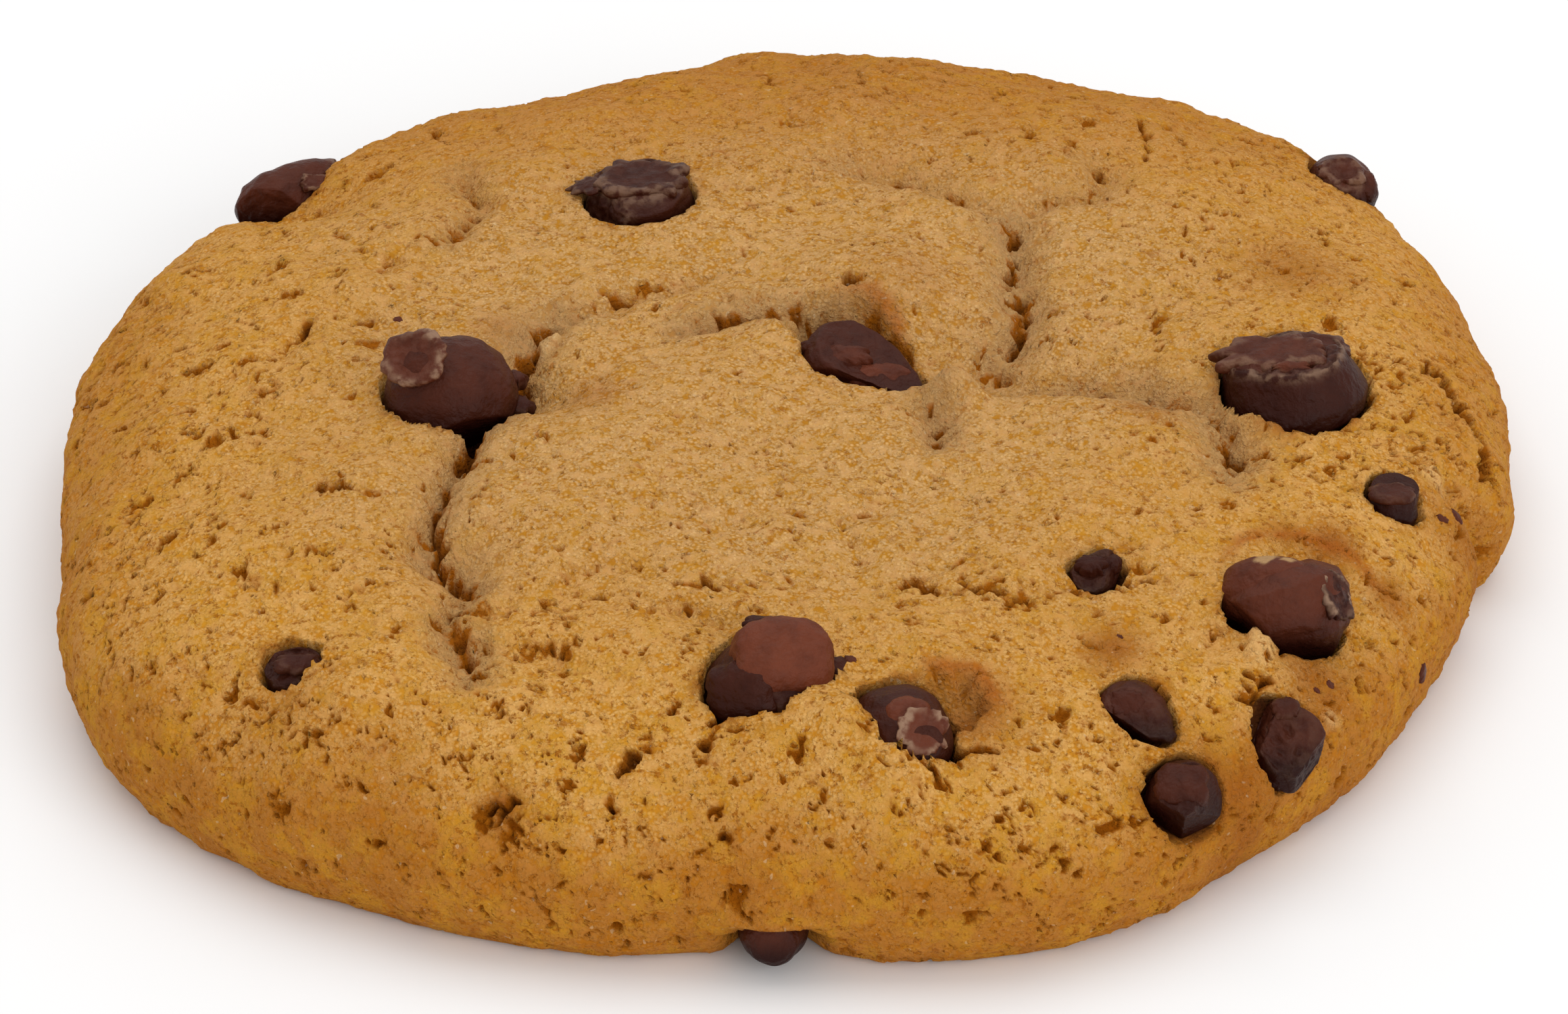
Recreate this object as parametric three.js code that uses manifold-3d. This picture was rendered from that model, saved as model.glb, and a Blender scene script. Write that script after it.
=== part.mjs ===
// A chocolate chip cookie: one piece of baked dough with sixteen pieces of chocolate set in it.
// Millimetres, +Z up. The cookie lies flat, with its origin at the middle of its underside, and its
// front, where the rim is lowest, faces -Y.

import * as THREE from 'three';
import { mergeVertices } from 'three/addons/utils/BufferGeometryUtils.js';
import Module from 'manifold-3d';

const wasm = await Module();
wasm.setup();

// Driving dimensions of the dough.
const OUTLINE_RADIUS = 41.6;
const CROWN_HEIGHT = 13;
const WAIST_HEIGHT = 4.5;
const SHOULDER_POWER = 4.4;
const BASE_SHARE = 0.955;
const RELIEF_FULL_HEIGHT = 8.5;

// The outline swells or draws in by a few lobes: direction in degrees from +X, half width, reach.
const OUTLINE_LOBES = [
  { at: 8, spread: 16, reach: 0.6 },
  { at: 40, spread: 17, reach: 2.6 },
  { at: 62, spread: 10, reach: 0.5 },
  { at: 112, spread: 28, reach: -2 },
  { at: 168, spread: 12, reach: 0.5 },
  { at: 218, spread: 19, reach: 4.2 },
  { at: 245, spread: 14, reach: 1.6 },
  { at: 269, spread: 6, reach: -1 },
  { at: 290, spread: 14, reach: 1.9 },
  { at: 340, spread: 18, reach: -1.1 },
];

// Cracks that baking opened in the crust: each runs along its route, with a depth and a half width.
const CRACKS = [
  {
    route: [
      [-16.5, -7.5], [-18, -9.5], [-18, -11.5], [-19, -14], [-19.5, -17], [-19.5, -19.5],
      [-18, -21], [-17, -23], [-18.5, -25.5], [-17, -28.5], [-17, -29.5],
    ],
    depth: 2.3,
    width: 1.1,
  },
  { route: [[-17, -24.5], [-14.5, -25]], depth: 0.9, width: 1.6 },
  { route: [[-15.5, -3.5], [-15, -0.5], [-14, 2.5], [-13, 3]], depth: 2.4, width: 1.2 },
  { route: [[-13, 3], [-10, 5], [-8, 6], [-5, 7]], depth: 0.8, width: 0.9 },
  { route: [[-6, 2], [-3.5, 3], [-1, 3.5], [1, 3], [3, 3.5]], depth: 1.8, width: 1 },
  { route: [[8, -3.5], [9.5, -2], [11, -0.5], [12.5, 1]], depth: 1.4, width: 1.6 },
  { route: [[12.5, 1], [13.5, 3.5], [13, 8], [13.5, 10.5], [13, 13.5]], depth: 1.8, width: 1.2 },
  { route: [[13, 13.5], [11, 15], [8.5, 17], [6.5, 19], [3.5, 19.5]], depth: 1.2, width: 1 },
  { route: [[13.5, 14.5], [15.5, 16], [18, 16.5], [19, 18.5], [18, 20]], depth: 1, width: 1 },
  {
    route: [
      [8.5, -4], [12.5, -3.5], [16, -3], [19.5, -3.5], [21, -4.5], [23.5, -5], [24.5, -7],
      [25, -9], [24.5, -11.5],
    ],
    depth: 2.2,
    width: 1.2,
  },
  { route: [[8, -6], [8.5, -7.5], [8.5, -10]], depth: 2, width: 1 },
  { route: [[-4, -18], [-1, -16], [3, -17.5], [5.5, -15]], depth: 0.7, width: 0.9 },
  { route: [[3, -17.5], [3.5, -20], [4, -22]], depth: 0.7, width: 0.9 },
  { route: [[-12.5, -22.5], [-10.5, -21.5], [-7.5, -21.5]], depth: 1.1, width: 1 },
  { route: [[-6.5, -25], [-4, -26], [-2.5, -26.5]], depth: 0.9, width: 0.9 },
  { route: [[-16.5, -27.5], [-13.5, -28], [-11.5, -29]], depth: 1, width: 0.9 },
  {
    route: [[-15, -24.5], [-8, -23.5], [0, -23.5], [8, -23], [14, -23.5], [19, -22]],
    depth: 0.5,
    width: 2,
  },
  { route: [[-20, 11], [-18.5, 15], [-19, 17], [-19.5, 20]], depth: 0.8, width: 0.9 },
  { route: [[-24, 8], [-23, 9.5]], depth: 1, width: 0.9 },
  { route: [[-29.5, -1], [-27.5, 3]], depth: 1, width: 0.9 },
  { route: [[-26.5, 5], [-25, 3], [-23.5, 2], [-22, -1]], depth: 0.7, width: 1 },
  { route: [[21.5, -27], [23.5, -25]], depth: 1.1, width: 1.3 },
  { route: [[13, -40], [14.5, -40.5], [15.5, -41.5]], depth: 0.9, width: 1 },
  { route: [[-5, -40], [-2.5, -40]], depth: 0.8, width: 0.9 },
];

// Wide soft hollows and rises of the crust: place, radius and height, which is negative in a hollow.
const MOUNDS = [
  { x: -18, y: -20, radius: 3, height: -1.2 },
  { x: 11.5, y: -1, radius: 3.8, height: -1.8 },
  { x: 17, y: -1, radius: 3.5, height: -0.9 },
  { x: 5.5, y: 0.5, radius: 3.2, height: -1.2 },
  { x: -14.8, y: -4.5, radius: 2.4, height: -1.6 },
  { x: 9.6, y: -34, radius: 2.4, height: -1.5 },
  { x: 18.6, y: -36, radius: 2, height: -0.8 },
  { x: 24.6, y: -1.6, radius: 2, height: -0.8 },
  { x: 9.3, y: -5, radius: 1.7, height: 1.4 },
  { x: 16.5, y: -7, radius: 4.5, height: 0.6 },
  { x: 24, y: 1.5, radius: 2.6, height: 0.7 },
  { x: 6, y: 6.5, radius: 4, height: 0.6 },
  { x: -7, y: -8, radius: 9, height: 0.4 },
  { x: -25, y: -17, radius: 6, height: 0.5 },
  { x: -24, y: -32, radius: 5, height: 0.6 },
  { x: 2, y: 29, radius: 8, height: 0.5 },
];

// The lower wall at the front draws in under a lip, where one chip looks out.
const FRONT_RECESS = { at: 269, spread: 3.4, height: 3.6, lip: 1.2, depth: 1.7 };

// Mesh fineness of the dough.
const TOP_STEP = 1.4;
const TOP_SHARE = 0.9;
const RIM_POINTS = 168;
const SHOULDER_LIFTS = [8.6, 7.4, 6.1, WAIST_HEIGHT];
const UNDERSIDE_ROWS = 4;
const BASE_RING_POINTS = [84, 42, 14];
const BASE_HUB = [0.8, 2.2];
const DRAW_REACH = 0.72;
const DRAW_SHARE = 0.7;
const DRAW_DEPTH = 0.8;

// Chocolate pieces. A chip is turned about its own axis, which points to its tip. The tip is often
// broken off flat. lean is the direction of the axis in degrees from +X, rise its angle above level,
// and flat the piece's thickness, as a share of its width, on the side that looks up.
const SEAT_GAP = 0.36;
const CHIP_SIDES = 12;
const SMALL_CHIP_SIDES = 9;
const SMALL_CHIP_RADIUS = 2.5;
const CHIPS = [
  {
    name: 'chip_back_left_rim',
    at: [-30.6, 24.6, 6.8],
    radius: 2.3, length: 7.6, tip: 1, lean: 36, rise: 12,
  },
  {
    name: 'chip_back_left',
    at: [-8.8, 15.9, 11.6],
    radius: 3.4, length: 4.8, tip: 2.9, lean: 255, rise: 76,
  },
  {
    name: 'chip_left',
    at: [-19.3, -4.6, 11.9],
    radius: 4.1, length: 6.6, tip: 1.8, lean: 200, rise: 56,
  },
  {
    name: 'chip_centre',
    at: [3.9, -1.3, 11.3],
    radius: 2.9, length: 8.2, tip: 1.3, lean: 320, rise: -5,
  },
  {
    name: 'chip_right',
    at: [28.8, -2.6, 10.7],
    radius: 4.3, length: 5.8, tip: 3.1, lean: 135, rise: 66,
  },
  {
    name: 'chip_back_right_rim',
    at: [33.5, 24.7, 7.6],
    radius: 2.4, length: 4.4, tip: 0.9, lean: 265, rise: 58,
  },
  {
    name: 'chip_right_small',
    at: [33.9, -11.5, 9.3],
    radius: 1.5, length: 3.1, tip: 1.3, lean: 60, rise: 75,
  },
  {
    name: 'chip_front_right',
    at: [27.1, -22, 9.7],
    radius: 3.9, length: 6.2, tip: 1.5, lean: 300, rise: -55,
  },
  {
    name: 'chip_middle_shard',
    at: [16.7, -21.6, 11.7],
    radius: 1.25, length: 3, tip: 0.7, lean: 35, rise: 30,
  },
  {
    name: 'chip_front',
    at: [-0.8, -30.3, 10.6],
    radius: 4, length: 5.8, tip: 1.3, lean: 80, rise: 76,
  },
  {
    name: 'chip_front_tip',
    at: [6, -34, 9.9],
    radius: 3, length: 5.8, tip: 1.35, lean: 296, rise: 30,
  },
  {
    name: 'chip_lower_right_long',
    at: [18.6, -31.3, 9.8],
    radius: 1.8, length: 4.8, tip: 0.5, lean: 318, rise: -10, flat: 0.7,
  },
  {
    name: 'chip_lower_right_slab',
    at: [26.9, -30.4, 6.9],
    radius: 2.15, length: 2.4, tip: 1.8, lean: 305, rise: 45, flat: 1.2,
  },
  {
    name: 'chip_lower_right_round',
    at: [21.1, -35.3, 7],
    radius: 2.1, length: 4, tip: 1.4, lean: 280, rise: 50,
  },
  {
    name: 'chip_front_left_small',
    at: [-26.5, -27.9, 9.6],
    radius: 1.75, length: 2.6, tip: 1.4, lean: 230, rise: 70,
  },
  {
    name: 'chip_under_front_rim',
    at: [-0.8, -40.2, 2.1],
    radius: 1.9, length: 3.8, tip: 1.2, lean: 270, rise: 10,
  },
];

const DOUGH_COLOUR = 0xbc883f;
const CHOCOLATE_COLOUR = 0x44241b;
const doughMaterial = new THREE.MeshStandardMaterial({ color: DOUGH_COLOUR, roughness: 0.9, metalness: 0 });
const chocolateMaterial = new THREE.MeshStandardMaterial({
  color: CHOCOLATE_COLOUR,
  roughness: 0.45,
  metalness: 0,
});

// Signed difference of two directions, in degrees.
function turnBetween(a, b) {
  return ((a - b + 540) % 360) - 180;
}

function outlineRadius(angle) {
  const degrees = THREE.MathUtils.radToDeg(angle);
  let radius = OUTLINE_RADIUS;
  for (const lobe of OUTLINE_LOBES) {
    const share = turnBetween(degrees, lobe.at) / lobe.spread;
    radius += lobe.reach * Math.exp(-share * share);
  }
  return radius;
}

// Slow swells all over the top.
function swell(x, y) {
  return 0.3 * Math.sin(0.21 * x + 0.9) * Math.cos(0.17 * y - 0.4)
    + 0.18 * Math.sin(0.43 * x - 0.31 * y + 2.1)
    + 0.12 * Math.sin(0.72 * y + 0.38 * x + 0.6);
}

// The point of a route that is nearest to a place, and how far away it is.
function nearestOnRoute(x, y, route) {
  let nearest = { distance: Infinity, x, y };
  for (let i = 0; i + 1 < route.length; i += 1) {
    const [ax, ay] = route[i];
    const [bx, by] = route[i + 1];
    const along = ((x - ax) * (bx - ax) + (y - ay) * (by - ay)) / ((bx - ax) ** 2 + (by - ay) ** 2);
    const share = THREE.MathUtils.clamp(along, 0, 1);
    const px = ax + share * (bx - ax);
    const py = ay + share * (by - ay);
    const distance = Math.hypot(x - px, y - py);
    if (distance < nearest.distance) {
      nearest = { distance, x: px, y: py };
    }
  }
  return nearest;
}

// Mesh points beside a deep crack are drawn towards its middle line, so that its floor is unbroken.
function drawnToCracks(x, y) {
  let place = [x, y];
  let closest = DRAW_REACH;
  for (const crack of CRACKS) {
    if (crack.depth < DRAW_DEPTH) {
      continue;
    }
    const nearest = nearestOnRoute(x, y, crack.route);
    if (nearest.distance < closest) {
      closest = nearest.distance;
      place = [x + DRAW_SHARE * (nearest.x - x), y + DRAW_SHARE * (nearest.y - y)];
    }
  }
  return place;
}

function relief(x, y) {
  let height = swell(x, y);
  for (const mound of MOUNDS) {
    const share = Math.hypot(x - mound.x, y - mound.y) / mound.radius;
    height += mound.height * Math.exp(-share * share);
  }
  let groove = 0;
  for (const crack of CRACKS) {
    const share = nearestOnRoute(x, y, crack.route).distance / crack.width;
    groove = Math.max(groove, crack.depth * Math.exp(-share * share));
  }
  return height - groove;
}

function crownHeight(share) {
  return WAIST_HEIGHT + (CROWN_HEIGHT - WAIST_HEIGHT) * Math.sqrt(1 - share ** SHOULDER_POWER);
}

// A point of the crust at a share of the outline's radius. lift is its height before the relief.
function crustPoint(angle, share, lift) {
  const degrees = THREE.MathUtils.radToDeg(angle);
  const aside = turnBetween(degrees, FRONT_RECESS.at) / FRONT_RECESS.spread;
  const below = THREE.MathUtils.clamp((FRONT_RECESS.height - lift) / FRONT_RECESS.lip, 0, 1);
  const recess = share > 0.5 ? FRONT_RECESS.depth * Math.exp(-(aside ** 4)) * below : 0;
  const radius = share * outlineRadius(angle) - recess;
  const level = [radius * Math.cos(angle), radius * Math.sin(angle)];
  const [x, y] = share < TOP_SHARE ? drawnToCracks(...level) : level;
  const fade = THREE.MathUtils.smoothstep(lift, WAIST_HEIGHT, RELIEF_FULL_HEIGHT);
  return new THREE.Vector3(x, y, lift + relief(x, y) * fade);
}

function ring(count, share, lift, turned) {
  const points = [];
  const phase = turned ? 0.5 : 0;
  for (let i = 0; i < count; i += 1) {
    points.push(crustPoint(((i + phase) / count) * 2 * Math.PI, share, lift));
  }
  return { points, phase };
}

// The rings of the dough from the middle of its top, over the shoulder and in under its base.
function doughRings() {
  const rings = [{ points: [crustPoint(0, 0, CROWN_HEIGHT)], phase: 0 }];
  const rowCount = Math.round((OUTLINE_RADIUS * TOP_SHARE) / (TOP_STEP * Math.sin(Math.PI / 3)));
  for (let row = 1; row <= rowCount; row += 1) {
    const share = (TOP_SHARE * row) / rowCount;
    const count = Math.min(RIM_POINTS, Math.round((2 * Math.PI * share * OUTLINE_RADIUS) / TOP_STEP));
    rings.push(ring(count, share, crownHeight(share), row % 2 === 1));
  }
  for (const lift of SHOULDER_LIFTS) {
    const fall = (lift - WAIST_HEIGHT) / (CROWN_HEIGHT - WAIST_HEIGHT);
    rings.push(ring(RIM_POINTS, (1 - fall ** 2) ** (1 / SHOULDER_POWER), lift, rings.length % 2 === 1));
  }
  for (let row = 1; row <= UNDERSIDE_ROWS; row += 1) {
    const turn = (row / UNDERSIDE_ROWS) * (Math.PI / 2);
    const share = BASE_SHARE + (1 - BASE_SHARE) * Math.cos(turn);
    rings.push(ring(RIM_POINTS, share, WAIST_HEIGHT * (1 - Math.sin(turn)), rings.length % 2 === 1));
  }
  BASE_RING_POINTS.forEach((count, i) => {
    const share = BASE_SHARE * (1 - (i + 1) / (BASE_RING_POINTS.length + 1));
    rings.push(ring(count, share, 0, false));
  });
  rings.push({ points: [new THREE.Vector3(...BASE_HUB, 0)], phase: 0 });
  return rings;
}

// Joins each ring to the next by triangles, however many points the two have.
function stitch(rings) {
  const positions = [];
  const indices = [];
  const starts = [];
  for (const { points } of rings) {
    starts.push(positions.length / 3);
    points.forEach((point) => positions.push(point.x, point.y, point.z));
  }
  for (let k = 0; k + 1 < rings.length; k += 1) {
    const inner = rings[k];
    const outer = rings[k + 1];
    const innerCount = inner.points.length;
    const outerCount = outer.points.length;
    let i = 0;
    let j = 0;
    while (i < innerCount || j < outerCount) {
      const a = starts[k] + (i % innerCount);
      const b = starts[k + 1] + (j % outerCount);
      const nextInner = (i + 1 + inner.phase) / innerCount;
      const nextOuter = (j + 1 + outer.phase) / outerCount;
      const stepInner = j >= outerCount || (i < innerCount && nextInner <= nextOuter);
      if (stepInner) {
        if (innerCount > 1) {
          indices.push(a, b, starts[k] + ((i + 1) % innerCount));
        }
        i += 1;
      } else {
        if (outerCount > 1) {
          indices.push(a, b, starts[k + 1] + ((j + 1) % outerCount));
        }
        j += 1;
      }
    }
  }
  const geometry = new THREE.BufferGeometry();
  geometry.setAttribute('position', new THREE.Float32BufferAttribute(positions, 3));
  geometry.setIndex(indices);
  return geometry;
}

// A geometry with its shared vertices merged and its collapsed triangles dropped.
function closed(geometry) {
  geometry.deleteAttribute('normal');
  geometry.deleteAttribute('uv');
  const merged = mergeVertices(geometry, 1e-3);
  const index = merged.index.array;
  const kept = [];
  for (let i = 0; i < index.length; i += 3) {
    const [a, b, c] = [index[i], index[i + 1], index[i + 2]];
    if (a !== b && b !== c && c !== a) {
      kept.push(a, b, c);
    }
  }
  merged.setIndex(kept);
  return merged;
}

// A chip: a rounded foot, full sides that draw in towards the tip, and a blunt end.
function chipGeometry({ radius, length, tip, flat = 1 }) {
  const foot = -0.42 * length;
  const end = 0.58 * length;
  const profile = [
    [0, foot],
    [0.62 * radius, foot + 0.05 * length],
    [0.93 * radius, foot + 0.18 * length],
    [radius, foot + 0.36 * length],
    [0.86 * radius + 0.08 * tip, foot + 0.58 * length],
    [0.4 * radius + 0.55 * tip, foot + 0.82 * length],
    [tip, end - 0.06 * length],
    [0.7 * tip, end],
    [0, end],
  ];
  const points = profile.map(([across, along]) => new THREE.Vector2(across, along));
  const sides = radius < SMALL_CHIP_RADIUS ? SMALL_CHIP_SIDES : CHIP_SIDES;
  const geometry = new THREE.LatheGeometry(points, sides);
  geometry.rotateX(Math.PI / 2);
  geometry.scale(1, flat, 1);
  return closed(geometry);
}

// Turns a chip so that its tip points along lean and rise, and its own Y looks up as far as it can.
function chipTurn({ lean, rise }) {
  const [around, above] = [THREE.MathUtils.degToRad(lean), THREE.MathUtils.degToRad(rise)];
  const axis = new THREE.Vector3(
    Math.cos(above) * Math.cos(around),
    Math.cos(above) * Math.sin(around),
    Math.sin(above),
  );
  const side = new THREE.Vector3(-Math.sin(around), Math.cos(around), 0);
  return new THREE.Matrix4().makeBasis(side, axis.clone().cross(side), axis);
}

// The seat of a chip: its own shape, grown outward by the gap to the dough.
function seatGeometry(geometry) {
  const seat = geometry.clone();
  seat.computeVertexNormals();
  const position = seat.attributes.position;
  const normal = seat.attributes.normal;
  for (let i = 0; i < position.count; i += 1) {
    position.setXYZ(
      i,
      position.getX(i) + SEAT_GAP * normal.getX(i),
      position.getY(i) + SEAT_GAP * normal.getY(i),
      position.getZ(i) + SEAT_GAP * normal.getZ(i),
    );
  }
  seat.deleteAttribute('normal');
  return seat;
}

function toSolid(geometry) {
  return new wasm.Manifold(new wasm.Mesh({
    numProp: 3,
    vertProperties: new Float32Array(geometry.attributes.position.array),
    triVerts: new Uint32Array(geometry.index.array),
  }));
}

function fromSolid(solid) {
  const mesh = solid.getMesh();
  const geometry = new THREE.BufferGeometry();
  geometry.setAttribute('position', new THREE.Float32BufferAttribute(mesh.vertProperties, 3));
  geometry.setIndex(Array.from(mesh.triVerts));
  return geometry;
}

const group = new THREE.Group();
let dough = toSolid(stitch(doughRings()));
for (const chip of CHIPS) {
  const mesh = new THREE.Mesh(chipGeometry(chip), chocolateMaterial);
  mesh.name = chip.name;
  mesh.position.set(...chip.at);
  mesh.quaternion.setFromRotationMatrix(chipTurn(chip));
  mesh.updateMatrix();
  dough = dough.subtract(toSolid(seatGeometry(mesh.geometry).applyMatrix4(mesh.matrix)));
  group.add(mesh);
}

const doughMesh = new THREE.Mesh(fromSolid(dough), doughMaterial);
doughMesh.name = 'dough';
group.add(doughMesh);

export default group;
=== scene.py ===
"""The looks of a chocolate chip cookie: baked dough with its cracks and pores, and sixteen pieces of
chocolate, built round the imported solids. Lengths in the tables are millimetres, in the solids' frame."""

import itertools
import math

import bpy
import numpy as np
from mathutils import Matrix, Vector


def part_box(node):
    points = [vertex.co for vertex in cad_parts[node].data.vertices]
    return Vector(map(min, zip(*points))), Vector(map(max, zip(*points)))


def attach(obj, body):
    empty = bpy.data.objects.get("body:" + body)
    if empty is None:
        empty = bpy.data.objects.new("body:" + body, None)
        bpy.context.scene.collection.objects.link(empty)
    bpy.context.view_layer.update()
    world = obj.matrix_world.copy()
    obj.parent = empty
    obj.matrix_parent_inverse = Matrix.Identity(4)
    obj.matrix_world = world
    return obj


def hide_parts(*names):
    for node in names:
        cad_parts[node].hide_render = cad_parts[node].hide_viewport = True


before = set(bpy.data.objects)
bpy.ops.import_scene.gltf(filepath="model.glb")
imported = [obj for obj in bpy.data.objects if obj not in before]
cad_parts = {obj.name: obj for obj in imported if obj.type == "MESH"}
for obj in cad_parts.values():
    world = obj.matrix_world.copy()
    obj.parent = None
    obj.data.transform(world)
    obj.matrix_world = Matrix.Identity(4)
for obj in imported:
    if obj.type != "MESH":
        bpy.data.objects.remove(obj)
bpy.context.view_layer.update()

bl_info = {
    "name": "Chocolate chip cookie",
    "version": (1, 0, 0),
    "blender": (4, 5, 0),
    "location": "3D View > Sidebar > Cookie",
    "description": "Builds a chocolate chip cookie round its solids",
    "category": "Object",
}

MM = 0.001

# The plain form of the dough, as in the solids.
SHOULDER_POWER = 4.4
BASE_SHARE = 0.955
RELIEF_FULL_HEIGHT = 8.5
OUTLINE_LOBES = [  # direction in degrees from +X, half width, reach
    (8, 16, 0.6), (40, 17, 2.6), (62, 10, 0.5), (112, 28, -2), (168, 12, 0.5),
    (218, 19, 4.2), (245, 14, 1.6), (269, 6, -1), (290, 14, 1.9), (340, 18, -1.1),
]
FRONT_RECESS = {"at": 269, "spread": 3.4, "height": 3.6, "lip": 1.2, "depth": 1.7}
RIM_BUMPS = [(353, 3.5, 0.6), (347.5, 1.6, -1.5), (205, 4, 0.4), (232, 4, 0.3)]  # small ones, as above
FRONT_LEDGE = {"reach": 1.7, "spread": 4.5, "low": 2.7, "high": 8.5}  # dough that hangs over the chip

# The modelled crust. Sizes of noise lumps are millimetres.
WANDER = [(1.9, 0.5), (0.7, 0.4)]  # lump size and reach of the wander of every torn edge
PORE_OCTAVES = (1.0, 0.95, 0.8, 0.2)  # strength of the pores and of each half as large kind
OPEN_FRONT = {"share": 0.3, "from": 22, "to": 36}  # more pores near the front
OPEN_PLACES = [(31, 0, 11, 0.7), (-34, 0, 13, 0.45)]  # x, y, radius, and how many more pores
CRUST_GRAIN = [  # lump size, strength, more of it at the rim, more of it in cracks, and its random draw
    (4.6, 1.2, 1.4, 0, 15), (2.2, 1.6, 0, 0, 5), (1.1, 1.3, 0, 0, 6), (0.55, 0.7, 0, 2.0, 7),
    (0.28, 0.5, 0, 1, 8),
]
BASE_GRAIN, BASE_PITS = 0.35, 0.25  # the base lay on the tray, so it is smoother
BASE_COARSER = 4  # spacing of the rows on the base, in steps
BROWNED_LINE = 0.4  # half width of a dent's browned edge
SEAT_SEARCH, SEAT_STEP = 9, 0.1  # how far round a chip its seat can reach, and the steps it is cut in

# Cracks of the crust: route, depth, half width, and how far the crust to the left of the route stands up.
CRACKS = [
    ([(-16.5, -7.5), (-18, -9.5), (-18, -11.5), (-19, -14), (-19.5, -17), (-19.5, -19.5), (-18, -21),
      (-17, -23), (-18.5, -25.5), (-17, -28.5), (-17, -29.5)], 2.3, 1.1, 0.3),
    ([(-17, -24.5), (-14.5, -25)], 0.9, 1.6, 0),
    ([(-15.5, -3.5), (-15, -0.5), (-14, 2.5), (-13, 3)], 2.4, 1.2, 0.2),
    ([(-13, 3), (-10, 5), (-8, 6), (-5, 7)], 1.2, 0.9, 0.3),
    ([(-6, 2), (-3.5, 3), (-1, 3.5), (1, 3), (3, 3.5)], 1.8, 1, 0.4),
    ([(8, -3.5), (9.5, -2), (11, -0.5), (12.5, 1)], 1.4, 1.6, 0),
    ([(12.5, 1), (13.5, 3.5), (13, 8), (13.5, 10.5), (13, 13.5)], 2.3, 1.2, 0.2),
    ([(13, 13.5), (11, 15), (8.5, 17), (6.5, 19), (3.5, 19.5)], 1.5, 1, 0.1),
    ([(13.5, 14.5), (15.5, 16), (18, 16.5), (19, 18.5), (18, 20)], 1.4, 1, 0.1),
    ([(8.5, -4), (12.5, -3.5), (16, -3), (19.5, -3.5), (21, -4.5), (23.5, -5), (24.5, -7), (25, -9),
      (24.5, -11.5)], 2.2, 1.4, -0.4),
    ([(8, -6), (8.5, -7.5), (8.5, -10)], 2, 1, 0.2),
    ([(-4, -18), (-1, -16), (3, -17.5), (5.5, -15)], 0.7, 0.9, 0.1),
    ([(3, -17.5), (3.5, -20), (4, -22)], 0.7, 0.9, 0),
    ([(-12.5, -22.5), (-10.5, -21.5), (-7.5, -21.5)], 0.7, 1, 0.2),
    ([(-6.5, -25), (-4, -26), (-2.5, -26.5)], 0.9, 0.9, 0.2),
    ([(-16.5, -27.5), (-13.5, -28), (-11.5, -29)], 1, 0.9, 0.2),
    ([(-15, -24.5), (-8, -23.5), (0, -23.5), (8, -23), (14, -23.5), (19, -22)], 0.4, 2, 0),
    ([(-20, 11), (-18.5, 15), (-19, 17), (-19.5, 20)], 1.5, 0.9, 0.2),
    ([(-24, 8), (-23, 9.5)], 1, 0.9, 0),
    ([(-29.5, -1), (-27.5, 3)], 1, 0.9, 0.1),
    ([(-26.5, 5), (-25, 3), (-23.5, 2), (-22, -1)], 0.7, 1, 0),
    ([(21.5, -27), (23.5, -25)], 1.1, 1.3, 0),
    ([(13, -40), (14.5, -40.5), (15.5, -41.5)], 0.9, 1, 0),
    ([(-5, -40), (-2.5, -40)], 0.8, 0.9, 0),
]

# Wide soft hollows and rises: x, y, radius, height.
MOUNDS = [
    (-18, -20, 3, -1.2), (11.5, -1, 3.8, -2.3), (17, -1, 3.5, -0.9), (5.5, 0.5, 3.2, -1.2),
    (-14.8, -4.5, 2.4, -1.6), (18.6, -36, 2, -0.8), (24.6, -1.6, 2, -0.8), (9.4, -5, 1.5, 2.1),
    (6.9, 3.6, 2.2, 0.9), (-29.5, 20.5, 3.5, -2.2), (16.5, -7, 4.5, 0.6), (24, 1.5, 2.6, 0.7),
    (6, 6.5, 4, 0.6), (-7, -8, 9, 0.4), (-25, -17, 6, 0.5), (-24, -32, 5, 0.6), (2, 29, 8, 0.5),
    (-1.5, -35.5, 2.6, 1.0), (5, -38.6, 3, 1.0), (0.5, -32.4, 2.4, 0.9), (2.9, -35.2, 1.7, 1.5),
    (6, -37, 2, 0.7),
]

# Seats that no chip fills: x, y, radius, depth, how browned their edge is, and towards what direction.
DENTS = [
    (8.7, -32.4, 2.3, 1.7, 0.9, 60), (2.9, 1.3, 3.4, 1.9, 0.8, 30), (28.6, -21.6, 5.0, 0.5, 0.9, 95),
]

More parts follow.
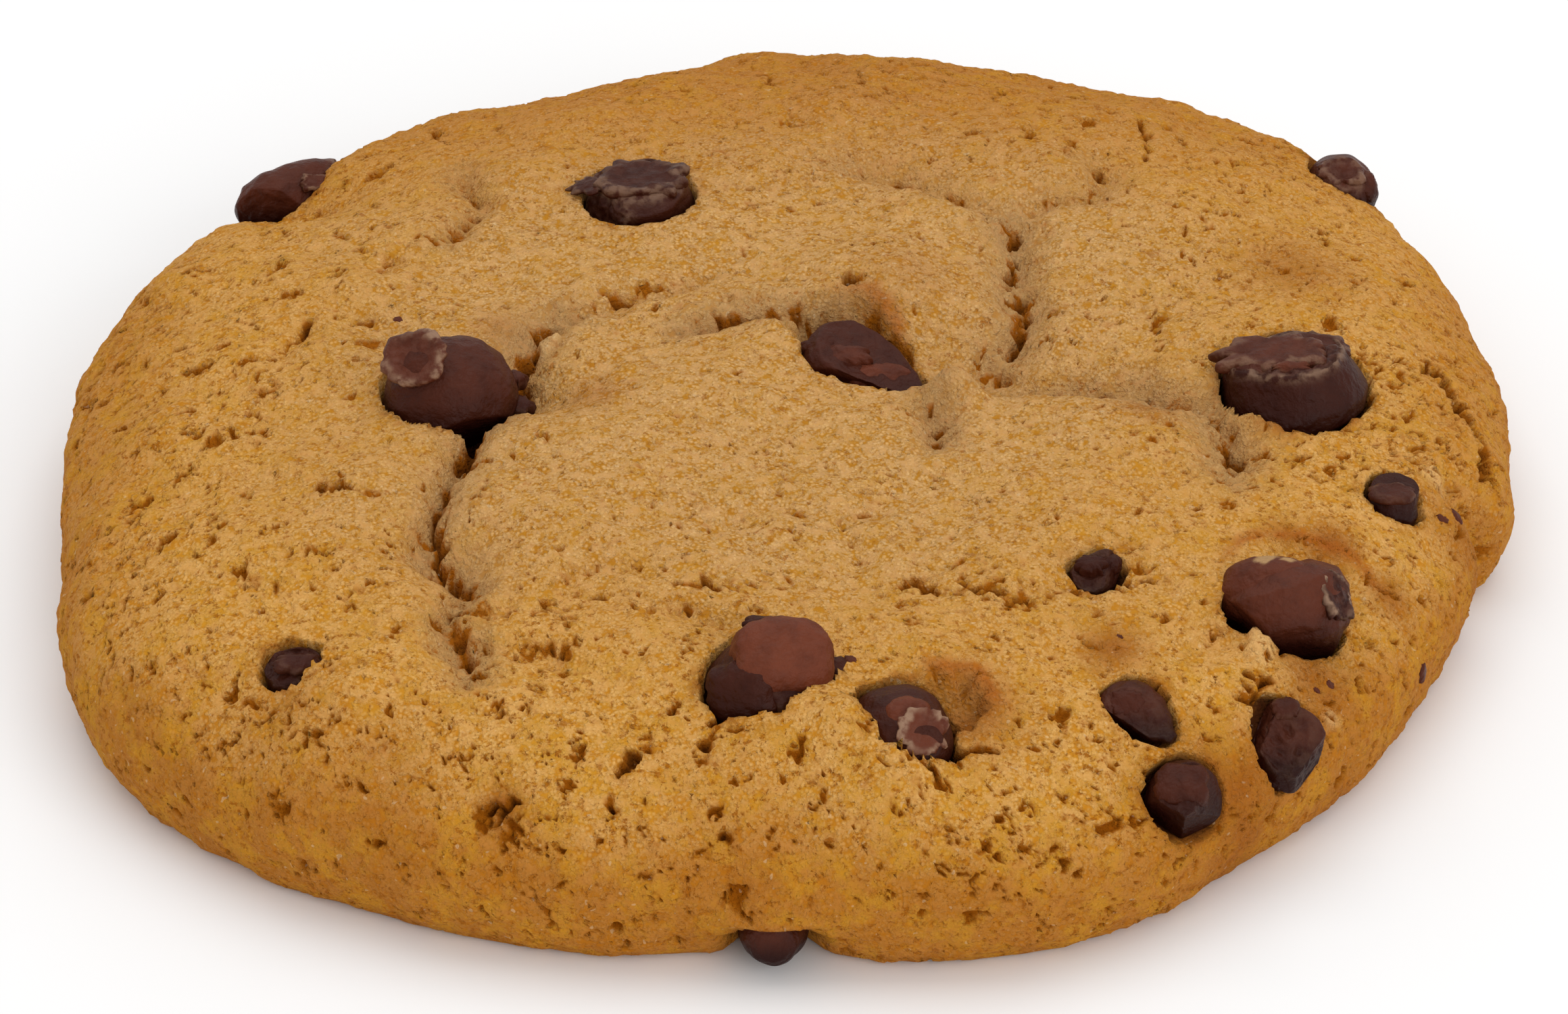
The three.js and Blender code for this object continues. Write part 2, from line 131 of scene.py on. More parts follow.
# Tears too small for the solids: route, depth, half width.
TEARS = [
    ([(3.5, 5.5), (5, 2.5), (6.5, 0.5), (7.5, -2)], 1.2, 0.5),
    ([(-0.2, -13.5), (-0.4, -14.7)], 0.7, 0.3),
    ([(4, -20.5), (4, -22)], 0.7, 0.3),
    ([(-26, -14), (-23, -15)], 0.8, 0.45),
    ([(-9, -36.5), (-7.5, -35)], 0.9, 0.4),
    ([(-9.3, -38.3), (-8.7, -38.1)], 0.8, 0.4),
    ([(-4.5, -36), (-4, -34.5), (-3, -33)], 0.9, 0.45),
    ([(25.5, -27.7), (25, -29.5)], 0.9, 0.45),
    ([(15.6, -23), (17.7, -22.2)], 0.8, 0.4),
    ([(6.2, -23), (8.2, -23.6), (12.5, -24.3)], 0.5, 0.5),
    ([(18.2, -22.2), (19.7, -22)], 0.9, 0.4),
    ([(13.4, 22), (14.8, 23)], 0.6, 0.4),
    ([(21.8, 26), (21.3, 23.5), (21.6, 21.3)], 0.7, 0.35),
    ([(8.7, -36.3), (10.8, -35.4)], 1.3, 0.35),
    ([(37, 2), (38.4, -1), (39.4, -3.8), (40.6, -7)], 3, 0.4),
    ([(-15.4, -38.3), (-14.8, -37.8)], 0.7, 0.45),
    ([(-16.1, -37.7), (-14.1, -38.2)], 0.6, 0.3),
]

# Pale bits of dough that stand on the crust: x, y, radius, height.
PALE_BITS = [
    (36.4, -8.2, 0.8, 0.7), (29.5, -28.2, 0.6, 0.3), (25.6, -26.0, 1.0, 0.7), (-13.7, 0.7, 0.9, 0.7),
]

# Spots where the crust browned more: x, y, radius, strength.
TOASTED = [
    (-10.9, -5.3, 1.9, 0.5), (20.4, -6.7, 1.8, 0.6), (29.6, 9.4, 3.5, 0.6), (5.4, 3.0, 1.2, 0.5),
    (30.0, -16.8, 1.7, 1.0), (27.6, -16.6, 1.3, 0.7), (33.2, -18.8, 1.4, 0.8),
    (25.0, -24.5, 1.2, 0.5), (9.6, -4.6, 0.8, 0.6), (-16.5, 1.4, 1.6, 0.5), (-27, -31, 3, 0.35),
    (-21, -35, 3, 0.3), (9.6, -33, 2.6, 0.9), (17.6, -27.5, 1.8, 0.9), (28.5, -26.4, 1.8, 0.8),
    (24.4, -34.4, 2.4, 0.7), (38, -11, 2, 0.6), (-15.1, -38, 1.1, 1), (7, 6, 3, 0.3),
]

# Chocolate pieces: half width, length, half width of the tip, direction of the axis in degrees from +X,
# its angle above level, and thickness as a share of the width on the side that looks up.
CHIPS = {
    "chip_back_left_rim": (2.3, 7.6, 1, 36, 12, 1),
    "chip_back_left": (3.4, 4.8, 2.9, 255, 76, 1),
    "chip_left": (4.1, 6.6, 1.8, 200, 56, 1),
    "chip_centre": (2.9, 8.2, 1.3, 320, -5, 1),
    "chip_right": (4.3, 5.8, 3.1, 135, 66, 1),
    "chip_back_right_rim": (2.4, 4.4, 0.9, 265, 58, 1),
    "chip_right_small": (1.5, 3.1, 1.3, 60, 75, 1),
    "chip_front_right": (3.9, 6.2, 1.5, 300, -55, 1),
    "chip_middle_shard": (1.25, 3, 0.7, 35, 30, 1),
    "chip_front": (4, 5.8, 1.3, 80, 76, 1),
    "chip_front_tip": (3, 5.8, 1.35, 296, 30, 1),
    "chip_lower_right_long": (1.8, 4.8, 0.5, 318, -10, 0.7),
    "chip_lower_right_slab": (2.15, 2.4, 1.8, 305, 45, 1.2),
    "chip_lower_right_round": (2.1, 4, 1.4, 280, 50, 1),
    "chip_front_left_small": (1.75, 2.6, 1.4, 230, 70, 1),
    "chip_under_front_rim": (1.9, 3.8, 1.2, 270, 10, 1),
}

# How each chocolate piece departs from its plain form. Places and directions are (right, up, towards) as
# seen from the front, in millimetres from the middle of its solid.
# cuts: faces broken or pressed flat, as direction, distance, roughness and how crumbly it looks.
# lumps: parts on the body, as place, direction of the face, half sizes, squareness, raggedness of the
# outline, depth of the dish in the face, and how pale its rim is.
# The lighter layer: how light the body is, partly from wear and partly painted light from above, also
# given per lump. smears: dough on the chocolate, as place and radius.
FORMS = {
    "chip_back_left_rim": {
        "cuts": [((0.9, 0.35, 0.1), 3.2, 0.15, 0.4), ((-0.2, -0.5, 0.85), 1.9, 0.08, 0)],
        "lumps": [((1.5, 1.15, 1.75), (0.2, 0.5, 0.8), (0.9, 0.55, 0.35), 2.6, 0.3, 0.1, 0.8)],
        "wear_and_painted_light": 0.35,
    },
    "chip_back_left": {
        "cuts": [((-0.1, 0.86, 0.5), 1.75, 0.3, 0.5), ((-0.75, -0.1, 0.6), 2.6, 0.25, 0.3)],
        "lumps": [((0.1, 1.5, 1.1), (-0.05, 0.84, 0.5), (2.6, 2.0, 0.5), 3.2, 0.25, 0.25, 0.45),
                  ((-2.9, 1.1, 0.9), (-0.3, 0.84, 0.5), (1.5, 0.8, 0.25), 2.2, 0.5, 0.05, 0.4)],
        "wear_and_painted_light": 0.1,
    },
    "chip_left": {
        "cuts": [((0.3, -0.9, 0.3), 2.6, 0.08, 0)],
        "lumps": [((-1.5, 1.6, 2.5), (-0.4, 0.4, 0.85), (1.35, 1.1, 1.0), 2.4, 0.1, 0, 0),
                  ((-1.9, 2.1, 2.95), (-0.38, 0.36, 0.85), (2.0, 1.7, 0.5), 2.4, 0.13, 0.3, 0.9),
                  ((3.9, -0.6, 0.2), (0.3, 0.6, 0.6), (0.8, 0.7, 0.6), 2.2, 0.35, 0, 0.1),
                  ((3.6, 0.9, -0.6), (0.3, 0.6, 0.6), (0.7, 0.6, 0.6), 2.2, 0.35, 0, 0.2)],
        "wear_and_painted_light": 0.25,
        "wear_and_painted_lights": {1: 0.5},
    },
    "chip_centre": {
        "cuts": [((-0.35, -0.75, 0.55), 1.5, 0.06, 0), ((0.2, 0.72, 0.65), 1.6, 0.12, 0)],
        "lumps": [((-2.6, 1.9, 0.2), (-0.3, 0.8, 0.5), (1.1, 0.6, 0.3), 2.6, 0.3, 0, 0.1),
                  ((-1.2, 1.1, 1.0), (-0.2, 0.6, 0.75), (1.7, 0.8, 0.6), 2.5, 0.22, 0, 0),
                  ((1.0, -0.1, 1.2), (0.2, 0.5, 0.85), (1.9, 0.95, 0.8), 2.5, 0.14, 0, 0)],
        "wear_and_painted_light": 0.15,
        "wear_and_painted_lights": {2: 0.7, 1: 0.45},
    },
    "chip_right": {
        "cuts": [((-0.12, 0.9, 0.42), 2.3, 0.3, 0.6)],
        "lumps": [((-1.2, 2.1, 0.9), (-0.15, 0.8, 0.55), (2.8, 1.75, 0.6), 3.0, 0.36, 0.15, 0.4),
                  ((-2.7, 1.1, 1.5), (-0.4, 0.6, 0.7), (1.3, 0.8, 0.55), 2.4, 0.35, 0, 0.3),
                  ((1.2, 2.5, 0.2), (0.1, 0.85, 0.5), (1.9, 1.5, 0.4), 2.8, 0.25, 0.15, 0.35),
                  ((-0.3, 1.25, 2.45), (0, 0.4, 0.9), (1.1, 0.5, 0.5), 2.2, 0.3, 0, 0.25)],
        "wear_and_painted_light": 0.05,
        "wear_and_painted_lights": {0: 0.4, 1: 0.3, 2: 0.2, 3: 0.6},
    },
    "chip_back_right_rim": {
        "cuts": [((0.2, 0.5, 0.8), 1.9, 0.1, 0.3)],
        "lumps": [((0.1, 0.75, 1.55), (0.1, 0.62, 0.75), (1.35, 0.95, 0.4), 2.8, 0.2, 0.28, 0.5),
                  ((1.5, -0.1, 0.9), (0.6, 0.1, 0.8), (0.8, 1.0, 0.7), 2.2, 0.2, 0, 0.1)],
        "wear_and_painted_light": 0.3,
    },
    "chip_right_small": {
        "cuts": [((0.05, 0.8, 0.6), 0.9, 0.05, 0.02)],
        "lumps": [((-0.05, 0.5, 0.85), (0.05, 0.8, 0.6), (1.3, 0.85, 0.35), 2.8, 0.12, 0.1, 0.25)],
        "wear_and_painted_light": 0.0,
        "wear_and_painted_lights": {0: 0.2},
    },
    "chip_front_right": {
        "cuts": [((0.2, -0.8, 0.5), 2.7, 0.05, 0), ((-0.77, -0.63, 0.2), 2.3, 0.05, 0)],
        "lumps": [((-0.5, 0.95, 0.9), (-0.2, 0.4, 0.85), (2.95, 2.0, 2.25), 2.3, 0.05, 0, 0),
                  ((1.3, 0.3, 0.9), (0.3, 0.4, 0.85), (2.5, 2.35, 2.2), 2.3, 0.05, 0, 0),
                  ((2.85, 0.85, 2.5), (0.66, 0.28, 0.68), (1.15, 1.4, 0.4), 2.6, 0.3, 0.15, 1.0)],
        "wear_and_painted_light": 0.5,
        "wear_and_painted_lights": {0: 0.6, 1: 0.55, 2: 0.0},
        "smears": [((-0.9, 2.9, 1.6), 0.8), ((0.2, 2.7, 2.0), 0.5)],
    },
    "chip_middle_shard": {
        "cuts": [((-0.1, 0.4, 0.9), 0.75, 0.15, 0.1), ((0.8, 0.1, 0.5), 0.9, 0.1, 0)],
        "lumps": [((0.75, 0.7, -0.1), (0.3, 0.8, 0.4), (0.7, 0.6, 0.6), 2.3, 0.4, 0, 0),
                  ((-0.3, 0.55, 0.5), (0, 0.6, 0.7), (0.8, 0.6, 0.6), 2.6, 0.3, 0, 0)],
        "wear_and_painted_light": 0.05,
    },
    "chip_front": {
        "cuts": [((-0.6, -0.35, 0.7), 2.5, 0.15, 0.1)],
        "lumps": [((0.5, 1.15, 1.2), (0.2, 0.45, 0.85), (2.75, 2.3, 2.0), 2.9, 0.05, 0, 0),
                  ((-1.6, -0.5, 1.9), (-0.5, -0.2, 0.85), (2.1, 1.7, 1.2), 2.9, 0.14, 0, 0),
                  ((-0.2, -1.7, 2.0), (-0.1, -0.4, 0.9), (1.5, 0.9, 0.9), 2.6, 0.2, 0, 0),
                  ((-0.3, 3.2, 0.5), (0, 0.9, 0.45), (1.2, 0.5, 0.35), 3.0, 0.2, 0.05, 0.1),
                  ((3.5, 0.7, 0.2), (0.6, 0.5, 0.6), (0.9, 0.7, 0.6), 2.3, 0.3, 0, 0)],
        "wear_and_painted_light": 0.1,
        "wear_and_painted_lights": {0: 1.0},
    },
    "chip_front_tip": {
        "cuts": [],
        "lumps": [((0.35, 0.9, 1.3), (0.3, 0.15, 0.9), (1.45, 1.6, 1.6), 3.0, 0.06, 0, 0),
                  ((1.25, 0.75, 2.85), (0.4, 0.1, 0.9), (1.4, 1.2, 0.3), 2.8, 0.26, 0.08, 1.0),
                  ((3.6, -1.5, 0.6), (0.2, 0.6, 0.7), (1.0, 0.3, 0.4), 2.4, 0.3, 0, 0)],
        "wear_and_painted_light": 0.1,
        "wear_and_painted_lights": {0: 0.9, 1: 0.7},
    },
    "chip_lower_right_long": {
        "cuts": [((0.0, 0.35, 0.93), 0.85, 0.15, 0.05), ((-0.55, -0.75, 0.3), 1.15, 0.06, 0)],
        "lumps": [((0.5, -0.7, 0.6), (0, 0.3, 0.9), (0.5, 0.4, 0.3), 2.3, 0.3, 0, 0.1),
                  ((-0.6, 0.4, 0.4), (0, 0.3, 0.9), (1.0, 0.8, 0.6), 2.5, 0.2, 0.1, 0)],
        "wear_and_painted_light": 0.2,
    },
    "chip_lower_right_slab": {
        "cuts": [((0.1, 0.25, 0.95), 0.9, 0.25, 0.08), ((0.8, -0.45, 0.3), 1.55, 0.15, 0),
                 ((-0.8, 0.45, 0.3), 1.5, 0.15, 0)],
        "lumps": [((-0.1, 1.9, 0.3), (0, 0.5, 0.8), (0.8, 0.7, 0.5), 2.3, 0.25, 0, 0.1),
                  ((-0.7, -1.7, 0.1), (0, 0.2, 0.9), (1.1, 0.8, 0.6), 2.6, 0.2, 0, 0)],
        "wear_and_painted_light": 0.2,
    },
    "chip_lower_right_round": {
        "cuts": [((-0.15, 0.5, 0.85), 1.25, 0.12, 0.02), ((0.85, 0.0, 0.5), 1.3, 0.06, 0),
                 ((-0.6, -0.75, 0.4), 1.5, 0.08, 0), ((0.5, -0.8, 0.4), 1.5, 0.08, 0)],
        "lumps": [((-0.2, 0.55, 0.7), (-0.1, 0.5, 0.85), (1.45, 1.2, 0.75), 3.4, 0.1, 0, 0)],
        "wear_and_painted_light": 0.05,
        "wear_and_painted_lights": {0: 0.2},
    },
    "chip_front_left_small": {
        "cuts": [((0, 0.7, 0.7), 0.55, 0.25, 0.05)],
        "lumps": [((0.1, 0.5, 0.75), (0.3, 0.6, 0.75), (1.35, 0.6, 0.4), 3.0, 0.25, 0, 0.1),
                  ((-0.5, -0.35, 0.85), (-0.1, 0.6, 0.75), (0.85, 0.6, 0.4), 3.0, 0.25, 0, 0.1),
                  ((0.85, -0.3, 0.85), (0.1, 0.6, 0.75), (0.5, 0.65, 0.4), 3.0, 0.25, 0, 0.1)],
        "wear_and_painted_light": 0.1,
    },
    "chip_under_front_rim": {"cuts": [], "lumps": [], "wear_and_painted_light": 0.3},
}

# How many points go round a piece of chocolate, and how many rows it has from end to end.
BODY_AROUND, BODY_ROWS = 104, 80
LUMP_AROUND, LUMP_ROWS = 72, 44
SPECK_AROUND, SPECK_ROWS = 28, 18

SPECKS = [  # chocolate crumbs lying in the crust: x, y, half width
    (35.2, -20.4, 0.6), (37.7, -10.3, 0.5), (36.8, -11.2, 0.4), (29.5, -26.3, 0.35), (28.7, -27, 0.22),
    (-22.5, 2.9, 0.3), (-15.8, -2.9, 0.4), (3.4, -29.7, 0.4), (17.9, -26.6, 0.2),
]


class DoughSizes(bpy.types.PropertyGroup):
    """Sizes of the dough."""

    radius: bpy.props.FloatProperty(
        name="Radius", description="Half width of the round outline", default=0.0416, unit="LENGTH")
    crown: bpy.props.FloatProperty(
        name="Crown height", description="Height of the middle", default=0.013, unit="LENGTH")
    waist: bpy.props.FloatProperty(
        name="Waist height", description="Height of the widest line", default=0.0045, unit="LENGTH")
    step: bpy.props.FloatProperty(
        name="Mesh step", description="Spacing of the modelled surface before thinning",
        default=0.00013, unit="LENGTH")
    faces: bpy.props.IntProperty(
        name="Triangles", description="Triangles kept after thinning", default=190000)
    seat_gap: bpy.props.FloatProperty(
        name="Seat gap", description="Space between dough and chocolate", default=0.00036, unit="LENGTH")
    seed: bpy.props.IntProperty(name="Seed", description="Start of the random draws", default=7)


class PoreSizes(bpy.types.PropertyGroup):
    """Sizes of the pores and the crumb."""

    size: bpy.props.FloatProperty(
        name="Pore size", description="Width of the largest pores", default=0.00115, unit="LENGTH")
    share: bpy.props.FloatProperty(
        name="Closed crust", description="How closed the crust is: higher leaves fewer pores",
        default=1.12)
    depth: bpy.props.FloatProperty(
        name="Pore depth", description="Depth of a pore", default=0.00055, unit="LENGTH")
    crumb: bpy.props.FloatProperty(
        name="Crumb height", description="Height of the grainy crust", default=0.0001, unit="LENGTH")


def colour(name, description, value):
    """An sRGB colour property with its default given as a hex value."""
    return bpy.props.FloatVectorProperty(
        name=name, description=description, default=linear(value), subtype="COLOR", size=4, min=0, max=1)


def linear(value):
    """A hex value in sRGB as linear red, green, blue and alpha."""
    parts = [int(value[i:i + 2], 16) / 255 for i in (1, 3, 5)]
    return tuple(p / 12.92 if p <= 0.04045 else ((p + 0.055) / 1.055) ** 2.4 for p in parts) + (1.0,)


class CookieColours(bpy.types.PropertyGroup):
    """Colours of the dough and the chocolate."""

    middle: colour("Middle", "Crust in the middle", "#ae721e")
    middle_light: colour("Middle, light grains", "Pale grains of the middle", "#efc487")
    rim: colour("Rim", "Crust near the rim", "#c58220")
    rim_light: colour("Rim, light grains", "Pale grains near the rim", "#f4c47a")
    # Browned crust low on the wall; laid towards the back it is painted shade.
    rim_baked_and_shaded: colour("Low rim", "Well baked crust low on the wall", "#ac6615")
    crumb: colour("Crumb", "Inside of the wide cracks", "#b28c5e")
    pore: colour("Pore", "Inside of the pores", "#a05a08")
    # Painted shade: the dark colour deep in the cracks and the largest pores, where shade falls.
    split: colour("Split", "Deep inside the cracks and the largest pores", "#6a3a0c")
    golden: colour("Golden", "Yellow patches of the crust", "#cc9228")
    toast: colour("Toasted", "Browned spots", "#96531a")
    seared: colour("Seared edge", "Edge of a seat that chocolate melted into", "#a85a1c")
    shaded_seat: colour("Hollow", "Dough in the seats, stained by chocolate", "#5a2f14")
    # Painted shade: the dark colour laid in the seats round the chocolate, where shade falls.
    fleck: colour("Fleck", "Pale flecks of sugar and flour", "#e6d2ac")
    base: colour("Base", "Underside, baked on a tray", "#96591f")
    # chocolate is the shaded copy, darkened as painted shade for the faces that look down; chocolate_lit
    # is the lit copy, painted light where the pieces face up, partly wear.
    chocolate: colour("Chocolate", "Smooth face of the chocolate", "#260a05")
    chocolate_lit: colour("Chocolate, worn", "Rubbed face of the chocolate", "#783c26")
    bloom: colour("Broken chocolate", "Crumbly broken face", "#6d4638")
    bloom_edge: colour("Broken edge", "Pale ragged edge of a break", "#9a7a62")
    floor: colour("Floor", "Plain floor", "#fbfbfb")


class StageSizes(bpy.types.PropertyGroup):
    """The camera and the lights."""

    distance: bpy.props.FloatProperty(
        name="Camera distance", description="From the origin to the camera", default=0.38303,
        unit="LENGTH")
    elevation: bpy.props.FloatProperty(
        name="Camera elevation", description="Height of the view above level",
        default=math.radians(35), subtype="ANGLE")
    lens: bpy.props.FloatProperty(
        name="Lens", description="Focal length in millimetres", default=150.71, unit="CAMERA")
    top_light: bpy.props.FloatProperty(
        name="Top light", description="Power of the soft light overhead", default=2.15, subtype="POWER")
    front_light: bpy.props.FloatProperty(
        name="Front light", description="Power of the soft light in front", default=2.7,
        subtype="POWER")
    room: bpy.props.FloatProperty(
        name="Room light", description="Strength of the light from all round", default=0.7)


GROUPS = (DoughSizes, PoreSizes, CookieColours, StageSizes)


def smoothstep(value, low, high):
    share = np.clip((value - low) / (high - low), 0, 1)
    return share * share * (3 - 2 * share)


def noise(points, size, seed):
    """Smooth random values, from about -1 to 1, in lumps of that size."""
    draw = np.random.default_rng(seed)
    order = draw.permutation(256)
    slopes = draw.normal(size=(256, 3))
    slopes /= np.linalg.norm(slopes, axis=1)[:, None]
    cell = points / size
    low = np.floor(cell)
    part = cell - low
    low = low.astype(np.int64)
    fade = part ** 3 * (part * (part * 6 - 15) + 10)
    total = np.zeros(len(points))
    for corner in itertools.product((0, 1), repeat=3):
        key = (low + corner) & 255
        pick = order[(order[(order[key[:, 0]] + key[:, 1]) & 255] + key[:, 2]) & 255]
        weight = np.prod(np.where(corner, fade, 1 - fade), axis=1)
        total += weight * np.einsum("ij,ij->i", slopes[pick], part - corner)
    return total * 1.5


def along_route(x, y, route):
    """Distance to a route, the side on which a place lies, and how far along it lies, from 0 to 1."""
    nearest = np.full(len(x), np.inf)
    side = np.zeros(len(x))
    along = np.zeros(len(x))
    lengths = [math.dist(a, b) for a, b in itertools.pairwise(route)]
    done = 0
    for (a, b), length in zip(itertools.pairwise(route), lengths):
        run = np.array(b) - a
        share = np.clip(((x - a[0]) * run[0] + (y - a[1]) * run[1]) / length ** 2, 0, 1)
        dx = x - a[0] - share * run[0]
        dy = y - a[1] - share * run[1]
        distance = np.hypot(dx, dy)
        closer = distance < nearest
        nearest = np.where(closer, distance, nearest)
        side = np.where(closer, np.sign(run[0] * dy - run[1] * dx), side)
        along = np.where(closer, (done + share * length) / sum(lengths), along)
        done += length
    return nearest, side, along


def outline_radius(angle, radius):
    degrees = np.degrees(angle)
    for at, spread, reach in OUTLINE_LOBES + RIM_BUMPS:
        turn = (degrees - at + 540) % 360 - 180
        radius = radius + reach * np.exp(-(turn / spread) ** 2)
    return radius


def swell(x, y):
    return (0.3 * np.sin(0.21 * x + 0.9) * np.cos(0.17 * y - 0.4)
            + 0.18 * np.sin(0.43 * x - 0.31 * y + 2.1) + 0.12 * np.sin(0.72 * y + 0.38 * x + 0.6))


def direction(around, above):
    """A unit vector from degrees round from +X and degrees above level."""
    around, above = math.radians(around), math.radians(above)
    return np.array([
        math.cos(above) * math.cos(around), math.cos(above) * math.sin(around), math.sin(above)])


class Chip:
    """The plain form of a chocolate piece, where its solid lies."""

    def __init__(self, name):
        self.name = name
        self.radius, length, tip, lean, rise, self.flat = CHIPS[name]
        foot, end = -0.42 * length, 0.58 * length
        self.along = np.array([
            foot, foot + 0.05 * length, foot + 0.18 * length, foot + 0.36 * length,
            foot + 0.58 * length, foot + 0.82 * length, end - 0.06 * length, end, end + 0.001])
        self.across = np.array([
            0, 0.62 * self.radius, 0.93 * self.radius, self.radius, 0.86 * self.radius + 0.08 * tip,
            0.4 * self.radius + 0.55 * tip, tip, 0.7 * tip, 0])
        axis = direction(lean, rise)
        side = np.array([-math.sin(math.radians(lean)), math.cos(math.radians(lean)), 0])
        self.axes = np.array([side, np.cross(axis, side), axis])
        rough = self.surface(np.linspace(0, 1, 40), np.linspace(0, 2 * math.pi, 36, endpoint=False), 0)
        box = np.array(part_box(name)) / MM
        self.middle = box.mean(axis=0) - (rough.min(axis=0) + rough.max(axis=0)) / 2

    def surface(self, shares, turns, middle):
        """Rings of points from foot to tip, at shares of the profile's own length."""
        steps = np.hypot(np.diff(self.along), np.diff(self.across))
        run = np.concatenate([[0], np.cumsum(steps)]) / steps.sum()
        along = np.interp(shares, run, self.along)
        across = np.interp(shares, run, self.across)
        ring = np.stack([np.cos(turns), np.sin(turns) * self.flat], axis=1)
        level = across[:, None, None] * ring[None]
        height = np.broadcast_to(along[:, None, None], level.shape[:2] + (1,))
        local = np.concatenate([level, height], axis=2)
        return local.reshape(-1, 3) @ self.axes + middle

    def outside(self, points):
        """How far points lie outside the plain form, roughly, and below 0 inside it."""
        local = (points - self.middle) @ self.axes.T
        across = np.hypot(local[:, 0], local[:, 1] / self.flat)
        beyond = np.maximum(self.along[0] - local[:, 2], local[:, 2] - self.along[-1])
        return np.maximum(across - np.interp(local[:, 2], self.along, self.across), beyond)


CHIP_FORMS = {name: Chip(name) for name in CHIPS}
VIEW_RISE = math.radians(35)
VIEW_AXES = np.array([  # right, up and towards, as seen from the front
    [1, 0, 0],
    [0, math.sin(VIEW_RISE), math.cos(VIEW_RISE)],
    [0, -math.cos(VIEW_RISE), math.sin(VIEW_RISE)],
])


def ring_faces(starts, counts):
    """Triangles between rings whose point counts are equal, double or half of the ring before."""
    faces = []
    for start, after, count, count_after in zip(starts, starts[1:], counts, counts[1:]):
        fine, coarse = max(count, count_after), min(count, count_after)
        flipped = count > count_after
        near, far = (after, start) if flipped else (start, after)
        i = np.arange(coarse)
        a, a_next = near + i, near + (i + 1) % coarse
        if fine == coarse:
            b, b_next = far + i, far + (i + 1) % fine
            made = [(a, b, b_next), (a, b_next, a_next)]
        elif coarse == 1:
            i = np.arange(fine)
            made = [(near + i * 0, far + i, far + (i + 1) % fine)]
        else:
            b, between, b_next = far + 2 * i, far + 2 * i + 1, far + (2 * i + 2) % fine
            made = [(a, b, between), (a, between, a_next), (a_next, between, b_next)]
        for corners in made:
            corners = corners[::-1] if flipped else corners
            faces.append(np.stack(corners, axis=1))
    return np.concatenate(faces)


def new_piece(name, points, faces, masks):
    """A mesh object from points in millimetres, with masks stored on its points."""
    mesh = bpy.data.meshes.new(name)
    mesh.vertices.add(len(points))
    mesh.vertices.foreach_set("co", np.ravel(points * MM).astype(np.float32))
    mesh.loops.add(faces.size)
    mesh.loops.foreach_set("vertex_index", np.ravel(faces).astype(np.int32))
    mesh.polygons.add(len(faces))
    mesh.polygons.foreach_set("loop_start", np.arange(0, faces.size, 3, dtype=np.int32))
    mesh.polygons.foreach_set("use_smooth", np.ones(len(faces), bool))
    mesh.update(calc_edges=True)
    for mask, values in masks.items():
        mesh.attributes.new(mask, "FLOAT", "POINT").data.foreach_set("value", values.astype(np.float32))
    piece = bpy.data.objects.new(name, mesh)
    bpy.context.scene.collection.objects.link(piece)
    return piece


def thin(piece, faces):
    """Drops triangles where the surface is even, until that many are left."""
    share = faces / len(piece.data.polygons)
    if share < 1:
        modifier = piece.modifiers.new("Thin", "DECIMATE")
        modifier.ratio = share
        made = bpy.data.meshes.new_from_object(piece.evaluated_get(bpy.context.evaluated_depsgraph_get()))
        piece.modifiers.clear()
        piece.data = made
    return piece


def dough_rows(sizes, step):
    """Shares of the outline and heights of the rows, from the middle of the top to the base's middle."""
    crown, waist, radius = sizes.crown / MM, sizes.waist / MM, sizes.radius / MM
    share = 1 - np.linspace(1, 0, 4000) ** 2
    rise = waist + (crown - waist) * np.sqrt(np.clip(1 - share ** SHOULDER_POWER, 0, 1))
    turn = np.linspace(0, math.pi / 2, 400)[1:]
    share = np.concatenate([share, BASE_SHARE + (1 - BASE_SHARE) * np.cos(turn)])
    rise = np.concatenate([rise, waist * (1 - np.sin(turn))])
    unrolled = np.concatenate([[0], np.cumsum(np.hypot(np.diff(share) * radius, np.diff(rise)))])
    marks = np.linspace(0, unrolled[-1], round(unrolled[-1] / step))
    base = BASE_SHARE * np.linspace(1, 0, round(BASE_SHARE * radius / (BASE_COARSER * step)))[1:]
    shares = np.concatenate([np.interp(marks, unrolled, share), base])
    rises = np.concatenate([np.interp(marks, unrolled, rise), np.zeros(len(base))])
    return shares, rises


def ring_counts(radii, step, wall_rows):
    """Points in each ring: powers of two, so that each ring joins the next."""
    counts = [1]
    for row, radius in enumerate(radii[1:], 1):
        wanted = 2 * math.pi * radius / (step if row < wall_rows else BASE_COARSER * step)
        count = 2 ** max(3, math.floor(math.log2(max(wanted, 8)) + 0.35))
        before = counts[-1]
        if before > 1:
            count = min(max(count, before // 2), before * 2)
        counts.append(count)
    counts[-1] = 1
    return counts


